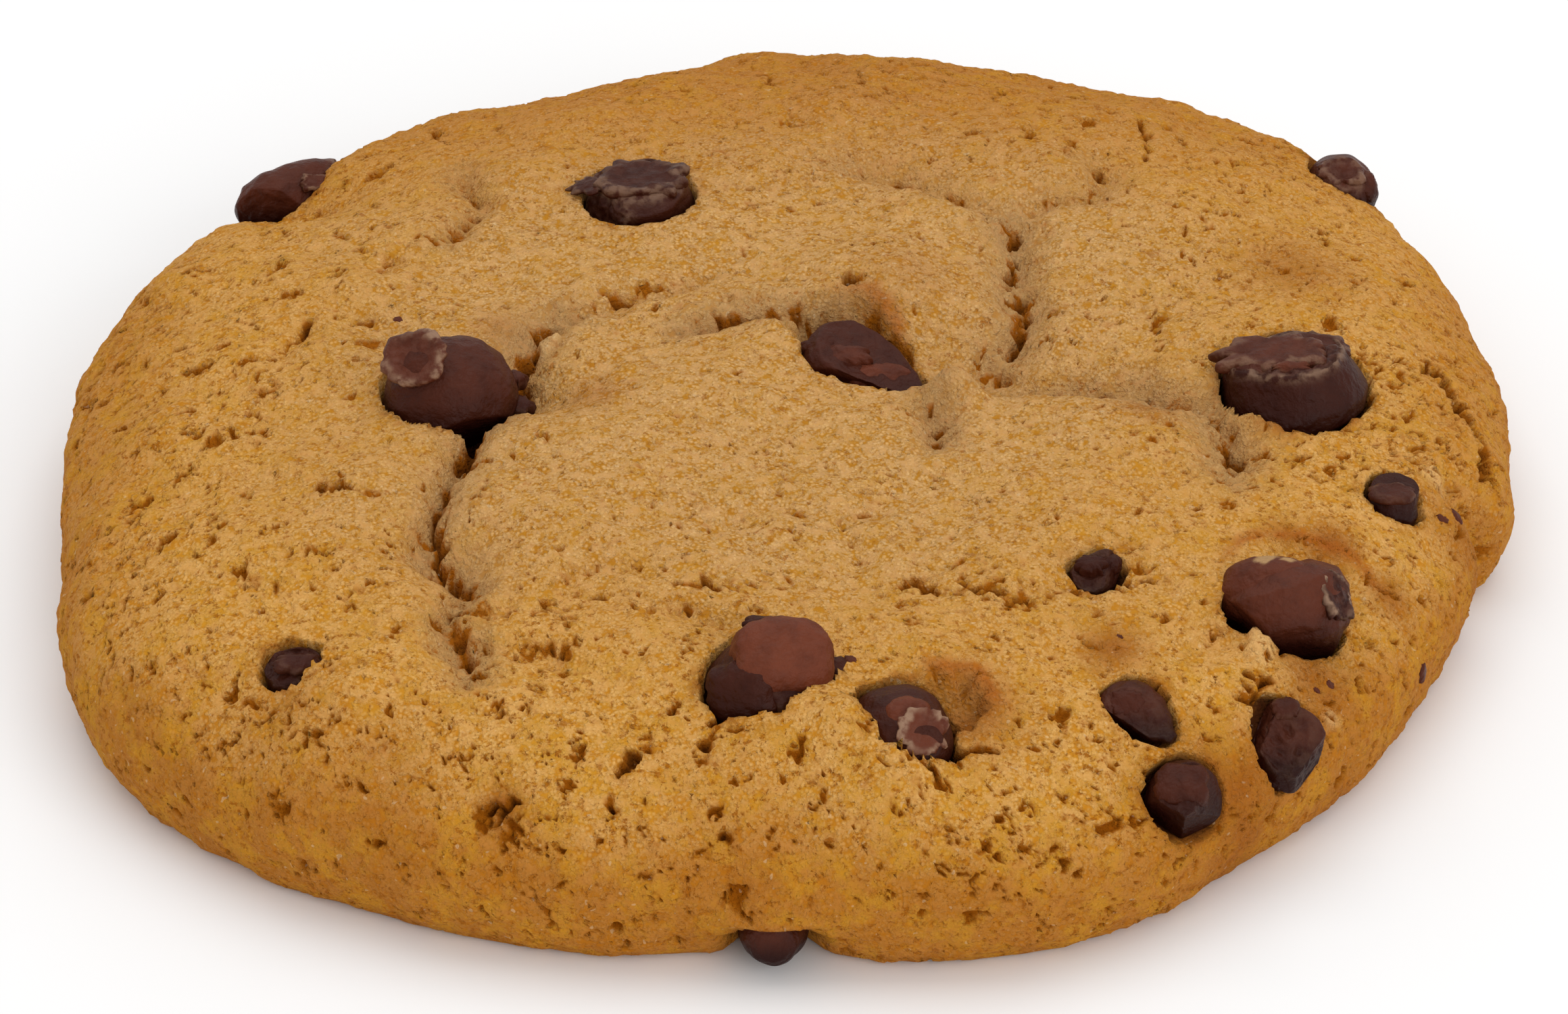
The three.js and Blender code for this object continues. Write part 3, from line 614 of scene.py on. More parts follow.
class Shell:
    """The plain dough as rings of points: where they lie, which way they face, how they are joined."""

    def __init__(self, sizes, step):
        shares, rises = dough_rows(sizes, step)
        wall_rows = int(np.argmax(rises <= 1e-6)) + 1
        counts = ring_counts(shares * sizes.radius / MM, step, wall_rows)
        starts = np.concatenate([[0], np.cumsum(counts)])
        self.faces = ring_faces(list(starts[:-1]), counts)
        self.angle = np.concatenate([np.arange(count) / count * 2 * math.pi for count in counts])
        self.share = np.repeat(shares, counts)
        self.lift = np.repeat(rises, counts)
        self.on_base = np.repeat(np.arange(len(counts)) >= wall_rows, counts)
        recess, ledge = self.front_lip()
        reach = self.share * outline_radius(self.angle, sizes.radius / MM) - recess + ledge
        self.x, self.y = reach * np.cos(self.angle), reach * np.sin(self.angle)
        self.plain = np.stack([self.x, self.y, self.lift], axis=1)

        slope = np.gradient(rises, edge_order=1), np.gradient(shares * sizes.radius / MM, edge_order=1)
        steep = np.hypot(*slope) + 1e-9
        outward = np.where(self.on_base, 0, np.repeat(-slope[0] / steep, counts))
        upward = np.where(self.on_base, -1, np.repeat(slope[1] / steep, counts))
        self.facing = np.stack(
            [outward * np.cos(self.angle), outward * np.sin(self.angle), upward], axis=1)

        # Edges of cracks, pores and dents wander, so their places are taken a little aside.
        seed = sizes.seed
        self.warp_x = self.x + self.wander(WANDER[0], seed) + self.wander(WANDER[1], seed + 1)
        self.warp_y = self.y + self.wander(WANDER[0], seed + 2) + self.wander(WANDER[1], seed + 3)
        self.upper = np.flatnonzero(self.lift > sizes.waist / MM)
        self.is_upper = self.lift > sizes.waist / MM

    def front_lip(self):
        """How far the rim draws in at the chip under it, and how far the crust above that hangs out."""
        turn = (np.degrees(self.angle) - FRONT_RECESS["at"] + 540) % 360 - 180
        aside = turn / FRONT_RECESS["spread"]
        below = np.clip((FRONT_RECESS["height"] - self.lift) / FRONT_RECESS["lip"], 0, 1)
        outer = self.share > 0.5
        recess = np.where(outer, FRONT_RECESS["depth"] * np.exp(-aside ** 4) * below, 0)
        spread = np.exp(-(aside * FRONT_RECESS["spread"] / FRONT_LEDGE["spread"]) ** 2)
        low, high = FRONT_LEDGE["low"], FRONT_LEDGE["high"]
        ledge = FRONT_LEDGE["reach"] * spread
        ledge = ledge * smoothstep(self.lift, low - 0.5, low) * outer
        ledge = ledge * (1 - smoothstep(self.lift, low + 1, high))
        return recess, ledge

    def wander(self, wave, seed):
        size, reach = wave
        return reach * noise(self.plain, size, seed)


def soft_relief(shell, height):
    """Adds rises, dents and pale bits to the height. Also where a dent's edge browned, and pale spots."""
    edge, pale = np.zeros(len(shell.x)), np.zeros(len(shell.x))
    for at_x, at_y, radius, rise in MOUNDS:
        height += rise * np.exp(-(np.hypot(shell.x - at_x, shell.y - at_y) / radius) ** 2)
    for at_x, at_y, radius, deep, browned, towards in DENTS:
        away = np.hypot(shell.warp_x - at_x, shell.warp_y - at_y) / radius
        turn = np.arctan2(shell.warp_y - at_y, shell.warp_x - at_x) - math.radians(towards)
        height -= deep * smoothstep(1 - away, 0, 0.4) * shell.is_upper
        line = np.exp(-((away - 1.02) * radius / BROWNED_LINE) ** 2) * smoothstep(np.cos(turn), 0.1, 0.8)
        edge = np.maximum(edge, browned * line * shell.is_upper)
    for at_x, at_y, radius, rise in PALE_BITS:
        away = np.hypot(shell.warp_x - at_x, shell.warp_y - at_y) / radius
        height += rise * smoothstep(1.2 - away, 0, 0.8) * shell.is_upper
        pale = np.maximum(pale, smoothstep(1.2 - away, 0, 0.5) * shell.is_upper)
    return edge, pale


def split_relief(shell, seed):
    """Of cracks and tears: how deep the valley, how high the lips, how torn open, how crumbly inside."""
    groove, lips, opened, crumb = (np.zeros(len(shell.x)) for _ in range(4))
    upper = shell.upper
    x = shell.x[upper] + 0.5 * noise(shell.plain[upper], 2.4, seed + 4)
    y = shell.y[upper] + 0.5 * noise(shell.plain[upper], 1.7, seed + 9)
    for route, depth, width, lip in CRACKS:
        distance, side, along = along_route(x, y, route)
        ends = smoothstep(along, -0.02, 0.1) * (1 - smoothstep(along, 0.9, 1.02)) * 0.6 + 0.4
        valley = 0.6 * depth * ends * np.exp(-(distance / (1.15 * width)) ** 2)
        groove[upper] = np.maximum(groove[upper], valley)
        split, _, _ = along_route(shell.warp_x[upper], shell.warp_y[upper], route)
        torn = (0.45 + 0.45 * depth) * ends * np.exp(-(split / (0.45 * width)) ** 2)
        opened[upper] = np.maximum(opened[upper], torn)
        deep = smoothstep(depth, 0.9, 2.0)
        crumb[upper] = np.maximum(crumb[upper], deep * np.exp(-(distance / (1.5 * width)) ** 2))
        raised = 1.4 * smoothstep(side * distance, -0.35, 0.35) - 0.4
        lips[upper] += 1.7 * lip * raised * np.exp(-(distance / 1.8) ** 2) * ends
    for route, depth, width in TEARS:
        split, _, _ = along_route(shell.warp_x[upper], shell.warp_y[upper], route)
        torn = (0.8 + 0.6 * depth) * np.exp(-(split / width) ** 2)
        opened[upper] = np.maximum(opened[upper], torn)
    return groove, lips, opened, crumb


def pore_depths(places, wanted, calm, pores, seed):
    """Depth of the pores: ragged gaps of many sizes, where the crumb didn't close. Wanted is how open
    the crust is, and calm how much less ragged."""
    size = pores.size / MM
    openness = np.zeros(len(places))
    for octave, strength in enumerate(PORE_OCTAVES):
        finer = strength * noise(places, size / 2 ** octave, seed + octave)
        openness += finer * (1 - calm) if octave > 1 else finer
    openness += 0.4 * noise(places, 6 * size, seed + 8)
    over = openness - pores.share + wanted
    rim, wall = smoothstep(over, -0.25, 0.0), smoothstep(over, 0, 0.3 + 0.5 * calm)
    return pores.depth / MM * (0.15 * rim + 0.5 * wall + 0.35 * smoothstep(over, 0.3, 1.0))


def pits_of(shell, opened, pores, seed):
    """Depth of all pores and torn places, with more of them where the crust is open."""
    gathered = OPEN_FRONT["share"] * smoothstep(-shell.y, OPEN_FRONT["from"], OPEN_FRONT["to"])
    for at_x, at_y, radius, share in OPEN_PLACES:
        away = np.hypot(shell.x - at_x, shell.y - at_y) / radius
        gathered = np.maximum(gathered, share * np.exp(-away ** 2))
    wanted = 0.08 + 0.14 * smoothstep(shell.share, 0.3, 0.8) + 0.35 * gathered
    deep_places = shell.lift + 0.3 * noise(shell.plain, 0.4, seed + 11)
    bent = np.stack([shell.warp_x, shell.warp_y, deep_places], axis=1)
    calm = 0.75 * smoothstep(opened, 0.1, 0.6)
    pits = (1 + 0.75 * opened) * pore_depths(bent, wanted + opened, calm, pores, seed + 50)
    round_pits = noise(bent, 1.7, seed + 60) + 0.3 * noise(bent, 0.4, seed + 61)
    round_pits = smoothstep(round_pits, 0.7 - 0.6 * wanted, 0.93 - 0.6 * wanted)
    pits += 0.6 * round_pits * smoothstep(shell.share, 0.4, 0.8)
    return pits * np.where(shell.on_base, BASE_PITS, 1)


def grain_of(shell, crumb, pores, seed):
    """Height of the grainy crust."""
    rim = smoothstep(shell.share, 0.3, 0.9)
    grain = 0
    for size, strength, at_rim, in_cracks, draw in CRUST_GRAIN:
        strength = strength + at_rim * rim + in_cracks * crumb
        grain = grain + strength * noise(shell.plain, size, seed + draw)
    return pores.crumb / MM * grain * np.where(shell.on_base, BASE_GRAIN, 1)


def crust(sizes, pores, step):
    """Points, triangles and masks of the whole dough."""
    seed = sizes.seed
    shell = Shell(sizes, step)
    height = swell(shell.x, shell.y)
    edge, pale = soft_relief(shell, height)
    groove, lips, opened, crumb = split_relief(shell, seed)
    fade = smoothstep(shell.lift, sizes.waist / MM, RELIEF_FULL_HEIGHT)
    height = (height - groove + lips) * fade
    opened *= fade
    pits = pits_of(shell, opened, pores, seed)
    out = grain_of(shell, crumb, pores, seed) - pits
    out = np.where(shell.on_base, np.minimum(out, 0) * 0.5, out)
    out = out * np.maximum(smoothstep(shell.lift, 0.0, 0.5), 0.3)
    surface = shell.plain + shell.facing * out[:, None]
    surface[:, 2] += height
    surface[:, 2] = np.maximum(surface[:, 2], 0)

    baked = bake(shell, sizes)
    shaded_seat, ring = carve_seats(surface, shell.facing, sizes)
    surface = surface - shell.facing * shaded_seat[:, None]
    in_crack = smoothstep(pits, 0.3, 0.65) * smoothstep(opened, 0.1, 0.5)
    masks = {
        "pit": np.clip(pits / 0.4, 0, 1),
        # Painted shade deep in the cracks and the largest pores.
        "deep": np.maximum(smoothstep(pits, 0.62, 0.95), in_crack),
        "crumb": np.clip(crumb * fade, 0, 1),
        # Painted shade in the seats, darker where a seat goes deeper.
        "shaded_seat": smoothstep(shaded_seat, 0.1, 0.8),
        "ring": ring,
        "edge": edge,
        "pale": pale,
        "toast": toast(shell, seed),
        "bake": smoothstep(baked, 0.05, 0.75),
        # Real browning low on the wall, painted shade towards the back, and darker towards the left and
        # right rim.
        "low": np.maximum.reduce([
            smoothstep(baked, 0.6, 1.05),
            0.8 * smoothstep(shell.y, 10, 36),
            0.7 * smoothstep(np.abs(shell.x), 32, 41),
        ]),
        "base": shell.on_base.astype(float),
    }
    return surface, shell.faces, masks


def carve_seats(surface, facing, sizes):
    """How deep the seats of the chips go below each point, and how close a point is to a seat's edge."""
    shaded_seat = np.zeros(len(surface))
    ring = np.zeros(len(surface))
    for number, chip in enumerate(CHIP_FORMS.values()):
        near = np.flatnonzero(np.linalg.norm(surface - chip.middle, axis=1) < SEAT_SEARCH)
        gap = sizes.seat_gap / MM + 0.22 * noise(surface[near], 0.9, sizes.seed + 30 + number)
        away = chip.outside(surface[near])
        ring[near] = np.maximum(ring[near], np.exp(-(np.maximum(away - 0.3, 0) / 0.8) ** 2))
        inside = away < gap
        active, gap = near[inside], gap[inside]
        depth = SEAT_STEP
        while len(active) and depth < SEAT_SEARCH:
            shaded_seat[active] = np.maximum(shaded_seat[active], depth)
            still = chip.outside(surface[active] - facing[active] * depth) < gap
            active, gap = active[still], gap[still]
            depth += SEAT_STEP
    return shaded_seat, ring


def toast(shell, seed):
    """How toasted the crust is, in spots."""
    value = np.zeros(len(shell.x))
    for at_x, at_y, radius, strength in TOASTED:
        away = np.hypot(shell.x - at_x, shell.y - at_y) / radius
        value = np.maximum(value, strength * np.exp(-away ** 2))
    patches = smoothstep(noise(shell.plain, 5, seed + 40), 0.25, 0.9) * 0.4
    return np.clip(value + patches * smoothstep(-shell.lift, -11, -6), 0, 1)


def bake(shell, sizes):
    """How well baked the crust is, from 0 in the middle to 1 low on the wall."""
    outer = 0.55 * smoothstep(shell.share, 0.35, 0.92)
    outer = outer + 0.45 * smoothstep(sizes.crown / MM - shell.lift, 1.5, 9)
    front = 0.1 * np.sin(-shell.angle) * shell.share
    return np.clip(outer + front + 0.16 * noise(shell.plain, 9, sizes.seed + 41), 0, 1)


def ball(around, rows):
    """Unit directions over a ball, in rings from one end to the other."""
    tilts = np.linspace(0, math.pi, rows)[1:-1]
    turns = np.linspace(0, 2 * math.pi, around, endpoint=False)
    level = np.stack([np.cos(turns), np.sin(turns), np.zeros(around)], axis=1)
    rings = np.sin(tilts)[:, None, None] * level - np.cos(tilts)[:, None, None] * [0, 0, 1]
    return np.concatenate([[[0, 0, -1]], rings.reshape(-1, 3), [[0, 0, 1]]])


def lump(place, face, half_sizes, square, ragged, dish, pale, seed, around, rows):
    """A rounded lump or plate, with a ragged outline and a dished face. Also how pale each point is."""
    way = ball(around, rows)
    unit = way * (np.abs(way) ** square).sum(axis=1)[:, None] ** (-1 / square)
    across = np.hypot(unit[:, 0], unit[:, 1])
    outline = way[:, :2] / (np.hypot(way[:, 0], way[:, 1])[:, None] + 1e-6)
    around_noise = noise(np.column_stack([outline * 1.9, np.full(len(way), 0.3)]), 0.8, seed)
    around_noise += 0.5 * noise(np.column_stack([outline * 1.9, np.full(len(way), 0.7)]), 0.35, seed + 1)
    local = unit * half_sizes
    local[:, :2] *= (1 + ragged * around_noise * smoothstep(across, 0.2, 0.9))[:, None]
    top = smoothstep(unit[:, 2], 0.0, 0.5)
    uneven = noise(local, 0.9, seed + 2)
    dished = dish * (1 - smoothstep(across + 0.2 * uneven, 0.45, 0.95))
    local[:, 2] += top * (0.25 * dish * uneven - dished)
    local += way * (0.05 * noise(local, 0.5, seed + 3) + 0.04 * uneven)[:, None]
    z = np.array(face, float) / np.linalg.norm(face)
    x = np.cross([0, 1, 0.02], z)
    x /= np.linalg.norm(x)
    axes = np.array([x, np.cross(z, x), z])
    rim = smoothstep(across + 0.15 * uneven, 0.66, 0.88) * smoothstep(unit[:, 2], -0.4, 0.3)
    rim *= 0.3 + 0.7 * smoothstep(noise(local + 7, 0.9 * half_sizes[0], seed + 4), -0.35, 0.3)
    return local @ axes + place, pale * rim, pale * 0.5 * top


def chip_piece(name, seed):
    """One chocolate piece: its plain form, uneven, with its broken faces and the lumps on it."""
    chip, form = CHIP_FORMS[name], FORMS[name]
    centre = np.array(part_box(name)).mean(axis=0) / MM
    turns = np.linspace(0, 2 * math.pi, BODY_AROUND, endpoint=False)
    points = chip.surface(np.linspace(0, 1, BODY_ROWS), turns, chip.middle - centre)
    points = np.concatenate([points[:1], points[BODY_AROUND:-BODY_AROUND], points[-1:]]) @ VIEW_AXES.T
    outward = points / (np.linalg.norm(points, axis=1)[:, None] + 1e-6)
    uneven = 0.07 * chip.radius * noise(points, 0.9 * chip.radius, seed)
    uneven = uneven + 0.07 * noise(points, 0.8, seed + 1)
    points = points + outward * uneven[:, None]
    edge, broken = np.zeros(len(points)), np.zeros(len(points))
    for number, (way, far, rough, crumbly) in enumerate(form["cuts"]):
        way = np.array(way) / np.linalg.norm(way)
        over = points @ way - far + 0.3 * rough * noise(points, 1.4, seed + 10 + number)
        coarse = noise(points, 0.8, seed + 20 + number)
        coarse = rough * (coarse + 0.5 * noise(points, 0.35, seed + 30 + number))
        drop = np.maximum(over, 0) - np.where(over > 0, coarse * smoothstep(over, 0, 0.3), 0)
        points = points - way * drop[:, None]
        broken = np.maximum(broken, crumbly * smoothstep(over, 0, 0.25))
        edge = np.maximum(edge, crumbly * np.exp(-((over - 0.05) / 0.3) ** 2))
    faces = chip_faces(BODY_ROWS, BODY_AROUND)
    parts = [(points, faces, edge, broken, np.full(len(points), form["wear_and_painted_light"]))]
    for number, shape in enumerate(form["lumps"]):
        made, rim, inside = lump(*shape, seed + 50 + 5 * number, LUMP_AROUND, LUMP_ROWS)
        wear_and_painted_light = form.get("wear_and_painted_lights", {}).get(number, form["wear_and_painted_light"])
        faces = chip_faces(LUMP_ROWS, LUMP_AROUND)
        parts.append((made, faces, rim, inside, np.full(len(made), wear_and_painted_light)))
    starts = np.concatenate([[0], np.cumsum([len(part[0]) for part in parts])])
    faces = np.concatenate([part[1] + start for part, start in zip(parts, starts)])
    points, edge, broken, wear_and_painted_light = (np.concatenate([part[i] for part in parts]) for i in (0, 2, 3, 4))
    smear = np.zeros(len(points))
    for place, radius in form.get("smears", []):
        away = np.linalg.norm(points - place, axis=1) + 0.5 * noise(points, 0.7, seed + 40)
        smear = np.maximum(smear, 1 - smoothstep(away, 0.7 * radius, radius))
    # Painted light: what looks up is drawn lighter than what looks down, as if lit from above.
    painted_top_light = smoothstep(points[:, 1] + 0.3 * points[:, 2], -0.5 * chip.radius, 0.45 * chip.radius)
    masks = {"edge": edge, "broken": broken, "wear_and_painted_light": (0.12 + wear_and_painted_light) * painted_top_light, "smear": smear}
    return points @ VIEW_AXES + centre, faces, masks


def chip_faces(rows, around):
    """Triangles of a closed form with a point at each end and rings between."""
    faces = []
    i = np.arange(around)
    after = (i + 1) % around
    faces.append(np.stack([np.zeros_like(i), 1 + after, 1 + i], axis=1))
    for row in range(rows - 3):
        a, b = 1 + row * around, 1 + (row + 1) * around
        faces.append(np.stack([a + i, a + after, b + after], axis=1))
        faces.append(np.stack([a + i, b + after, b + i], axis=1))
    last = 1 + (rows - 3) * around
    faces.append(np.stack([last + i, last + after, np.full_like(i, last + around)], axis=1))
    return np.concatenate(faces)


def node(tree, kind, inputs=None, **settings):
    """Adds a node with its settings, and sets or links its inputs."""
    made = tree.nodes.new(kind)
    for name, value in settings.items():
        setattr(made, name, value)
    for name, value in (inputs or {}).items():
        if isinstance(value, bpy.types.NodeSocket):
            tree.links.new(value, made.inputs[name])
        else:
            made.inputs[name].default_value = value
    return made


def material(name):
    made = bpy.data.materials.new(name)
    made.use_nodes = True
    made.node_tree.nodes.clear()
    return made, made.node_tree


def shares_of(tree, patterns, masks):
    """Every pattern and stored mask as a socket that runs from 0 to 1."""
    place = node(tree, "ShaderNodeTexCoord").outputs["Object"]
    made = {}
    for name, (size, detail, rough, low, high) in patterns.items():
        cloud = node(tree, "ShaderNodeTexNoise", {
            "Vector": place, "Scale": 1 / (size * MM), "Detail": detail, "Roughness": rough})
        made[name] = node(tree, "ShaderNodeMapRange", {
            "Value": cloud.outputs["Fac"], "From Min": low, "From Max": high},
            interpolation_type="SMOOTHSTEP").outputs["Result"]
    for name in masks:
        made[name] = node(tree, "ShaderNodeAttribute", attribute_name=name).outputs["Fac"]
    return made


def layered(tree, shares, ground, layers):
    """Colours laid over each other: each layer is its strength, the shares it goes by, and its colour."""
    surface = tuple(ground)
    for strength, names, over in layers:
        share = strength
        for name in names:
            product = node(tree, "ShaderNodeMath", {0: share, 1: shares[name]}, operation="MULTIPLY")
            share = product.outputs[0]
        mixed = node(tree, "ShaderNodeMix", {0: share, 6: surface, 7: tuple(over)}, data_type="RGBA")
        surface = mixed.outputs[2]
    return surface


# Sugar and flour in the crust are about 0.1 mm across. The grain is drawn at 0.26 mm instead, as fine as a
# picture of the whole cookie can show, and so are the crumbs and flecks below.
GRAIN_WIDTH = 0.26
DOUGH_PATTERNS = {  # size in mm, detail, roughness, and the part of the noise stretched over 0 to 1
    "fine": (0.16, 2.0, 0.6, 0.38, 0.62),  # single crumbs
    "tan": (0.35, 2.0, 0.6, 0.45, 0.62),  # duller crumbs
    "sand": (0.7, 4.0, 0.75, 0.4, 0.6),  # clumps of grains
    "gaps": (0.5, 3.0, 0.75, 0.56, 0.68),  # pin holes
    "gaps_here": (3.0, 1.0, 0.5, 0.35, 0.6),  # where pin holes gather
    "spots": (1.3, 5.0, 0.8, 0.54, 0.7),  # shallow dark pits
    "gold": (2.2, 4.0, 0.7, 0.45, 0.65),  # buttery patches
    "brown": (1.0, 4.0, 0.7, 0.52, 0.74),  # patches that caught the heat
    "fleck": (0.34, 0.0, 0.5, 0.78, 0.84),  # bare sugar grains
}


def baked_dough(colours):
    """Sugar dough, dropped in a lump and baked on a tray."""
    # The crust dried before the crumb had set, so it is matt and sandy, with open pores and torn cracks.
    # It browns from the pale middle to the low rim.
    made, tree = material("baked_dough")
    share = shares_of(tree, DOUGH_PATTERNS, (
        "bake", "low", "toast", "ring", "edge", "crumb", "pale", "pit", "deep", "shaded_seat",
        "base"))
    place = node(tree, "ShaderNodeTexCoord").outputs["Object"]
    cells = node(tree, "ShaderNodeTexVoronoi", {
        "Vector": place, "Scale": 1 / (GRAIN_WIDTH * MM)})
    share["grains"] = node(tree, "ShaderNodeMapRange", {
        "Value": cells.outputs["Distance"], "From Min": 0.65, "From Max": 0.15},
        interpolation_type="SMOOTHSTEP").outputs["Result"]
    # The edge of a pore is as ragged as the crumb.
    torn = node(tree, "ShaderNodeMath", {
        0: share["sand"], 1: 0.45, 2: share["pit"]}, operation="MULTIPLY_ADD")
    share["torn"] = node(tree, "ShaderNodeMapRange", {
        "Value": torn.outputs[0], "From Min": 0.3, "From Max": 0.85}).outputs["Result"]
    surface = layered(tree, share, colours.middle, (
        (0.7, ("sand",), colours.middle_light),
        (0.6, ("grains",), colours.middle_light),
        (0.3, ("tan",), colours.crumb),
        (1.0, ("bake",), colours.rim),
        (0.35, ("bake", "fine"), colours.pore),
        (0.7, ("bake", "sand"), colours.rim_light),
        (0.6, ("bake", "grains"), colours.rim_light),
        (0.2, ("fine",), colours.golden),
        # Browning low on the rim, with painted shade towards the back.
        (0.8, ("low",), colours.rim_baked_and_shaded),
        (0.25, ("gold",), colours.golden),
        (0.4, ("bake", "gold"), colours.golden),
        (0.5, ("bake", "brown"), colours.toast),
        (0.9, ("toast",), colours.toast),
        (0.8, ("ring", "gold"), colours.toast),
        (0.9, ("edge",), colours.seared),
        (0.7, ("crumb",), colours.crumb),
        (0.4, ("pale",), colours.middle_light),
        (0.45, ("spots",), colours.pore),
        (0.7, ("gaps", "gaps_here"), colours.pore),
        (0.5, ("gaps", "bake"), colours.pore),
        (1.0, ("torn",), colours.pore),
        # Painted shade deep in the cracks and the largest pores.
        (0.85, ("deep",), colours.split),
        # Painted shade in the seats round the chocolate.
        (1.0, ("shaded_seat",), colours.shaded_seat),
        (0.25, ("fleck",), colours.fleck),
        (1.0, ("base",), colours.base),
    ))
    fine = node(tree, "ShaderNodeBump", {
        "Height": share["grains"], "Strength": 0.45, "Distance": 0.12 * MM})
    coarse = node(tree, "ShaderNodeBump", {
        "Height": share["sand"], "Strength": 0.5, "Distance": 0.2 * MM, "Normal": fine.outputs["Normal"]})
    pricked = node(tree, "ShaderNodeBump", {
        "Height": share["gaps"], "Strength": 0.4, "Distance": 0.2 * MM,
        "Normal": coarse.outputs["Normal"]}, invert=True)
    shader = node(tree, "ShaderNodeBsdfPrincipled", {
        "Base Color": surface, "Roughness": 0.85, "IOR": 1.45, "Specular IOR Level": 0.1,
        "Normal": pricked.outputs["Normal"]})
    node(tree, "ShaderNodeOutputMaterial", {"Surface": shader.outputs["BSDF"]})
    return made


CHOCOLATE_PATTERNS = {  # as for the dough
    # worn also breaks up the painted light on the faces that look up.
    "worn": (1.2, 3.0, 0.5, 0.2, 0.65),  # smears where the chip was rubbed
    "crumbly": (0.45, 3.0, 0.5, 0.4, 0.62),  # grains of a broken face
    "pale": (0.6, 3.0, 0.5, 0.36, 0.6),  # bloom along an edge
    "pitted": (0.4, 3.0, 0.5, 0.3, 0.7),  # dents from baking
}


def dark_chocolate(colours):
    """Dark chocolate, moulded into drops."""
    # The mould leaves smooth satin faces. A break is dull and crumbly, with a pale bloom along its edge.
    made, tree = material("dark_chocolate")
    share = shares_of(tree, CHOCOLATE_PATTERNS, ("wear_and_painted_light", "broken", "edge", "smear"))
    surface = layered(tree, share, colours.chocolate, (
        # Painted light: faces that look up get the lighter colour, partly wear and partly light from
        # above.
        (0.45, ("wear_and_painted_light",), colours.chocolate_lit),
        (0.5, ("wear_and_painted_light", "worn"), colours.chocolate_lit),
        (0.5, ("broken", "crumbly"), colours.bloom),
        (0.9, ("edge", "pale"), colours.bloom_edge),
        (0.9, ("smear",), colours.crumb),
    ))
    bumps = node(tree, "ShaderNodeBump", {
        "Height": share["pitted"], "Strength": 0.5, "Distance": 0.12 * MM})
    shader = node(tree, "ShaderNodeBsdfPrincipled", {
        "Base Color": surface, "Roughness": 0.45, "IOR": 1.46, "Specular IOR Level": 0.14,
        "Normal": bumps.outputs["Normal"]})
    node(tree, "ShaderNodeOutputMaterial", {"Surface": shader.outputs["BSDF"]})
    return made


def white_card(colours):
    """White card, pressed smooth."""
    # It is even and matt, so that only the soft shadow shows on it.
    made, tree = material("white_card")
    shader = node(tree, "ShaderNodeBsdfPrincipled", {
        "Base Color": tuple(colours.floor), "Roughness": 0.9})
    node(tree, "ShaderNodeOutputMaterial", {"Surface": shader.outputs["BSDF"]})
    return made


def chocolate_material(scene):
    return bpy.data.materials.get("dark_chocolate") or dark_chocolate(scene.cookie_colours)


class COOKIE_OT_dough(bpy.types.Operator):
    """Builds the dough with its crust, cracks, pores and the seats of the chips."""

    bl_idname = "cookie.dough"
    bl_label = "Dough"

    def execute(self, context):
        scene = context.scene
        step = scene.dough_sizes.step / MM * 1
        points, faces, masks = crust(scene.dough_sizes, scene.pore_sizes, step)
        piece = new_piece("cookie_dough", points, faces, masks)
        thin(piece, scene.dough_sizes.faces)
        piece.data.materials.clear()
        piece.data.materials.append(baked_dough(scene.cookie_colours))
        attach(piece, "root")
        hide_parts("dough")
        return {"FINISHED"}


class COOKIE_OT_chips(bpy.types.Operator):
    """Builds the sixteen pieces of chocolate."""

    bl_idname = "cookie.chips"
    bl_label = "Chocolate chips"

    def execute(self, context):
        for number, name in enumerate(CHIPS):
            piece = new_piece("choc_" + name, *chip_piece(name, 100 + 40 * number))
            piece.data.materials.append(chocolate_material(context.scene))
            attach(piece, "root")
            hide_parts(name)
        return {"FINISHED"}


class COOKIE_OT_specks(bpy.types.Operator):
    """Sets small crumbs of chocolate into the crust."""

    bl_idname = "cookie.specks"
    bl_label = "Chocolate specks"

    def execute(self, context):
        dough = bpy.data.objects["cookie_dough"]
        parts, faces = [], []
        for number, (x, y, half) in enumerate(SPECKS):
            hit, place, facing, _ = dough.ray_cast((x * MM, y * MM, 0.03), (0, 0, -1))
            if not hit:
                raise RuntimeError(f"no crust under the speck at {x}, {y}")
            sizes = (half, 0.75 * half, 0.5 * half)
            place = np.array(place) / MM - 0.25 * half * np.array(facing)
            seed = 900 + 7 * number
            made, _, _ = lump(place, facing, sizes, 2.6, 0.35, 0, 0, seed, SPECK_AROUND, SPECK_ROWS)
            start = sum(len(part) for part in parts)
            faces.append(chip_faces(SPECK_ROWS, SPECK_AROUND) + start)
            parts.append(made)
        points = np.concatenate(parts)
        bare = np.zeros(len(points))
        piece = new_piece("choc_specks", points, np.concatenate(faces), {
            # The crumbs get an even share of the painted light too.
            "wear_and_painted_light": bare + 0.6, "broken": bare, "edge": bare, "smear": bare})
        piece.data.materials.append(chocolate_material(context.scene))
        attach(piece, "root")
        return {"FINISHED"}


# The stage. Lengths here are metres.
FLOOR, FLOOR_GAP = 3, 0.00005  # half width, and how far below the base it lies
LIGHTS = {
    "top_light": {"size": (0.9, 0.6), "place": (0.0, 0.22, 0.75)},
    "front_light": {"size": (0.9, 0.5), "place": (0.5, -0.75, 0.5)},
}
PICTURE_WIDTH, CAMERA_SHIFT = 2320, (-6, 28.2)  # pixels


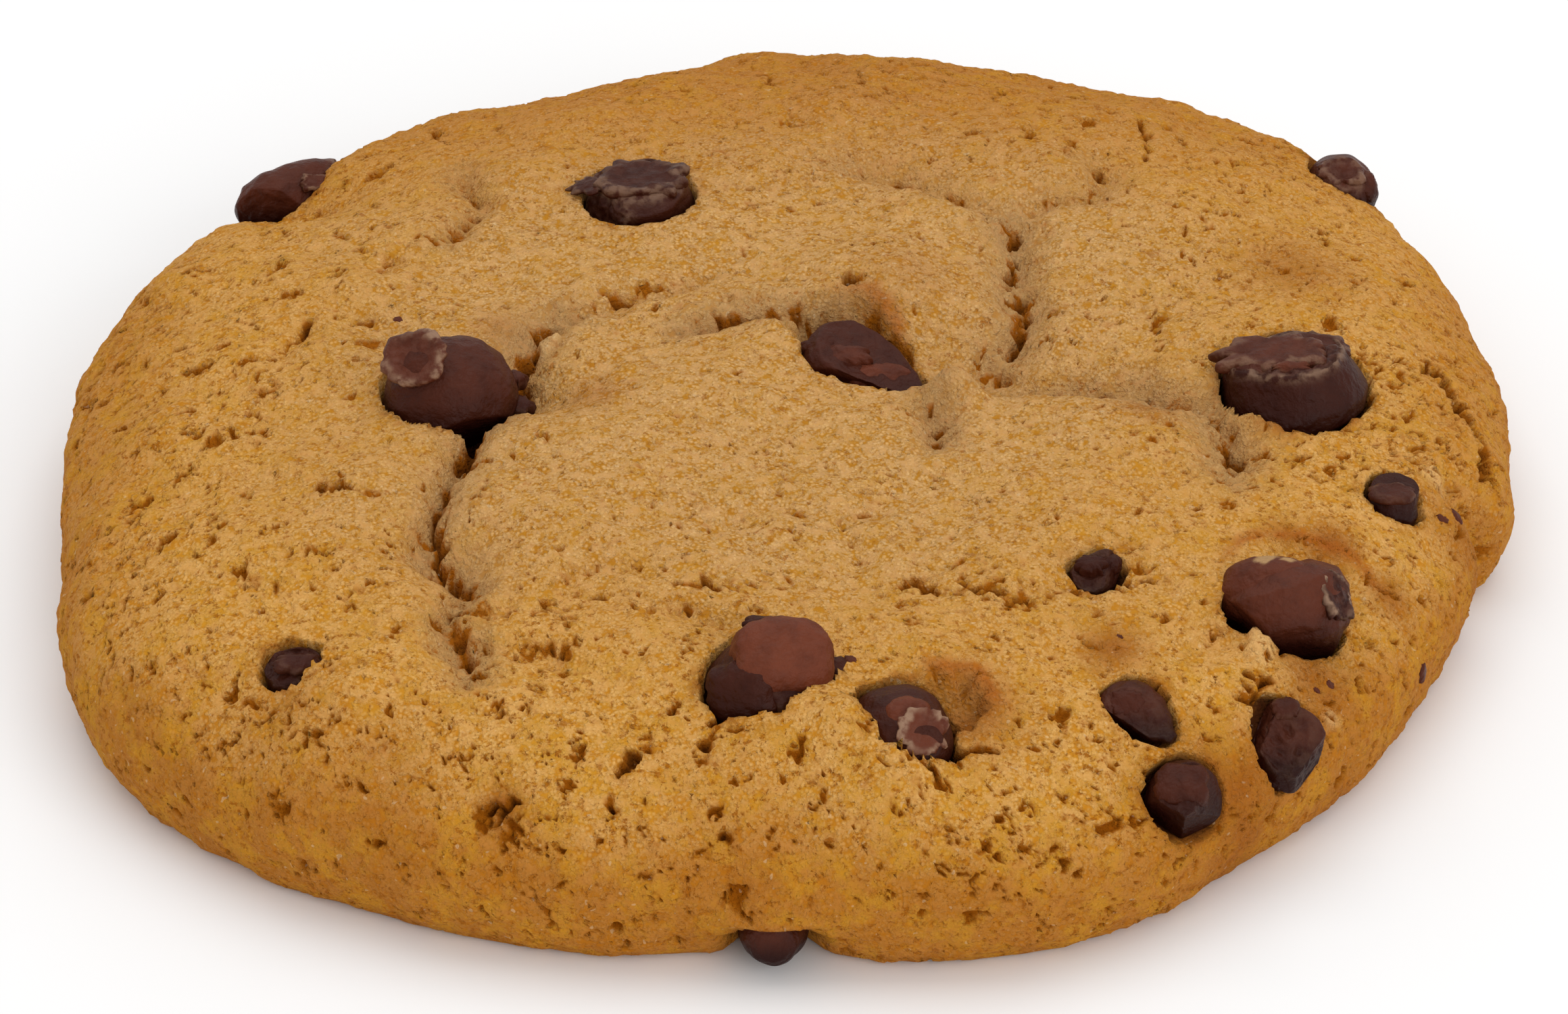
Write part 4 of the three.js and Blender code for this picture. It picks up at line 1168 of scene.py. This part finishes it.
class COOKIE_OT_stage(bpy.types.Operator):
    """Builds the floor, the lights and the camera."""

    bl_idname = "cookie.stage"
    bl_label = "Stage"

    def execute(self, context):
        scene = context.scene
        sizes = scene.stage_sizes
        mesh = bpy.data.meshes.new("floor")
        corners = [(-FLOOR, -FLOOR, 0), (FLOOR, -FLOOR, 0), (FLOOR, FLOOR, 0), (-FLOOR, FLOOR, 0)]
        mesh.from_pydata(corners, [], [(0, 1, 2, 3)])
        floor = bpy.data.objects.new("floor", mesh)
        floor.location.z = -FLOOR_GAP
        mesh.materials.append(white_card(scene.cookie_colours))
        scene.collection.objects.link(floor)

        for name, power in (("top_light", sizes.top_light), ("front_light", sizes.front_light)):
            light = bpy.data.lights.new(name, "AREA")
            light.energy, light.shape = power, "RECTANGLE"
            light.size, light.size_y = LIGHTS[name]["size"]
            holder = bpy.data.objects.new(name, light)
            holder.location = LIGHTS[name]["place"]
            holder.rotation_euler = (-holder.location).to_track_quat("-Z", "Y").to_euler()
            scene.collection.objects.link(holder)
        world = bpy.data.worlds.new("room")
        world.use_nodes = True
        back = world.node_tree.nodes["Background"]
        back.inputs["Color"].default_value = (1, 1, 1, 1)
        back.inputs["Strength"].default_value = sizes.room
        scene.world = world
        scene.view_settings.view_transform = "Standard"

        camera = bpy.data.cameras.new("camera")
        camera.lens = sizes.lens
        camera.sensor_width = 36
        camera.shift_x, camera.shift_y = (shift / PICTURE_WIDTH for shift in CAMERA_SHIFT)
        camera.clip_start = 0.01
        holder = bpy.data.objects.new("camera", camera)
        holder.location = (
            0, -sizes.distance * math.cos(sizes.elevation), sizes.distance * math.sin(sizes.elevation))
        holder.rotation_euler = (math.pi / 2 - sizes.elevation, 0, 0)
        scene.collection.objects.link(holder)
        scene.camera = holder
        return {"FINISHED"}


class COOKIE_PT_panel(bpy.types.Panel):
    """Lists the pieces of the cookie."""

    bl_idname = "COOKIE_PT_panel"
    bl_label = "Cookie"
    bl_space_type = "VIEW_3D"
    bl_region_type = "UI"
    bl_category = "Cookie"

    def draw(self, context):
        for operator in OPERATORS:
            self.layout.operator(operator.bl_idname)


OPERATORS = (COOKIE_OT_stage, COOKIE_OT_dough, COOKIE_OT_chips, COOKIE_OT_specks)
GROUP_NAMES = ("dough_sizes", "pore_sizes", "cookie_colours", "stage_sizes")


def register():
    for made in GROUPS + OPERATORS + (COOKIE_PT_panel,):
        bpy.utils.register_class(made)
    for name, group in zip(GROUP_NAMES, GROUPS):
        setattr(bpy.types.Scene, name, bpy.props.PointerProperty(type=group))


def unregister():
    for name in GROUP_NAMES:
        delattr(bpy.types.Scene, name)
    for made in reversed(GROUPS + OPERATORS + (COOKIE_PT_panel,)):
        bpy.utils.unregister_class(made)


def main():
    register()
    bpy.ops.cookie.stage()
    bpy.ops.cookie.dough()
    bpy.ops.cookie.chips()
    bpy.ops.cookie.specks()


if __name__ == "__main__":
    main()
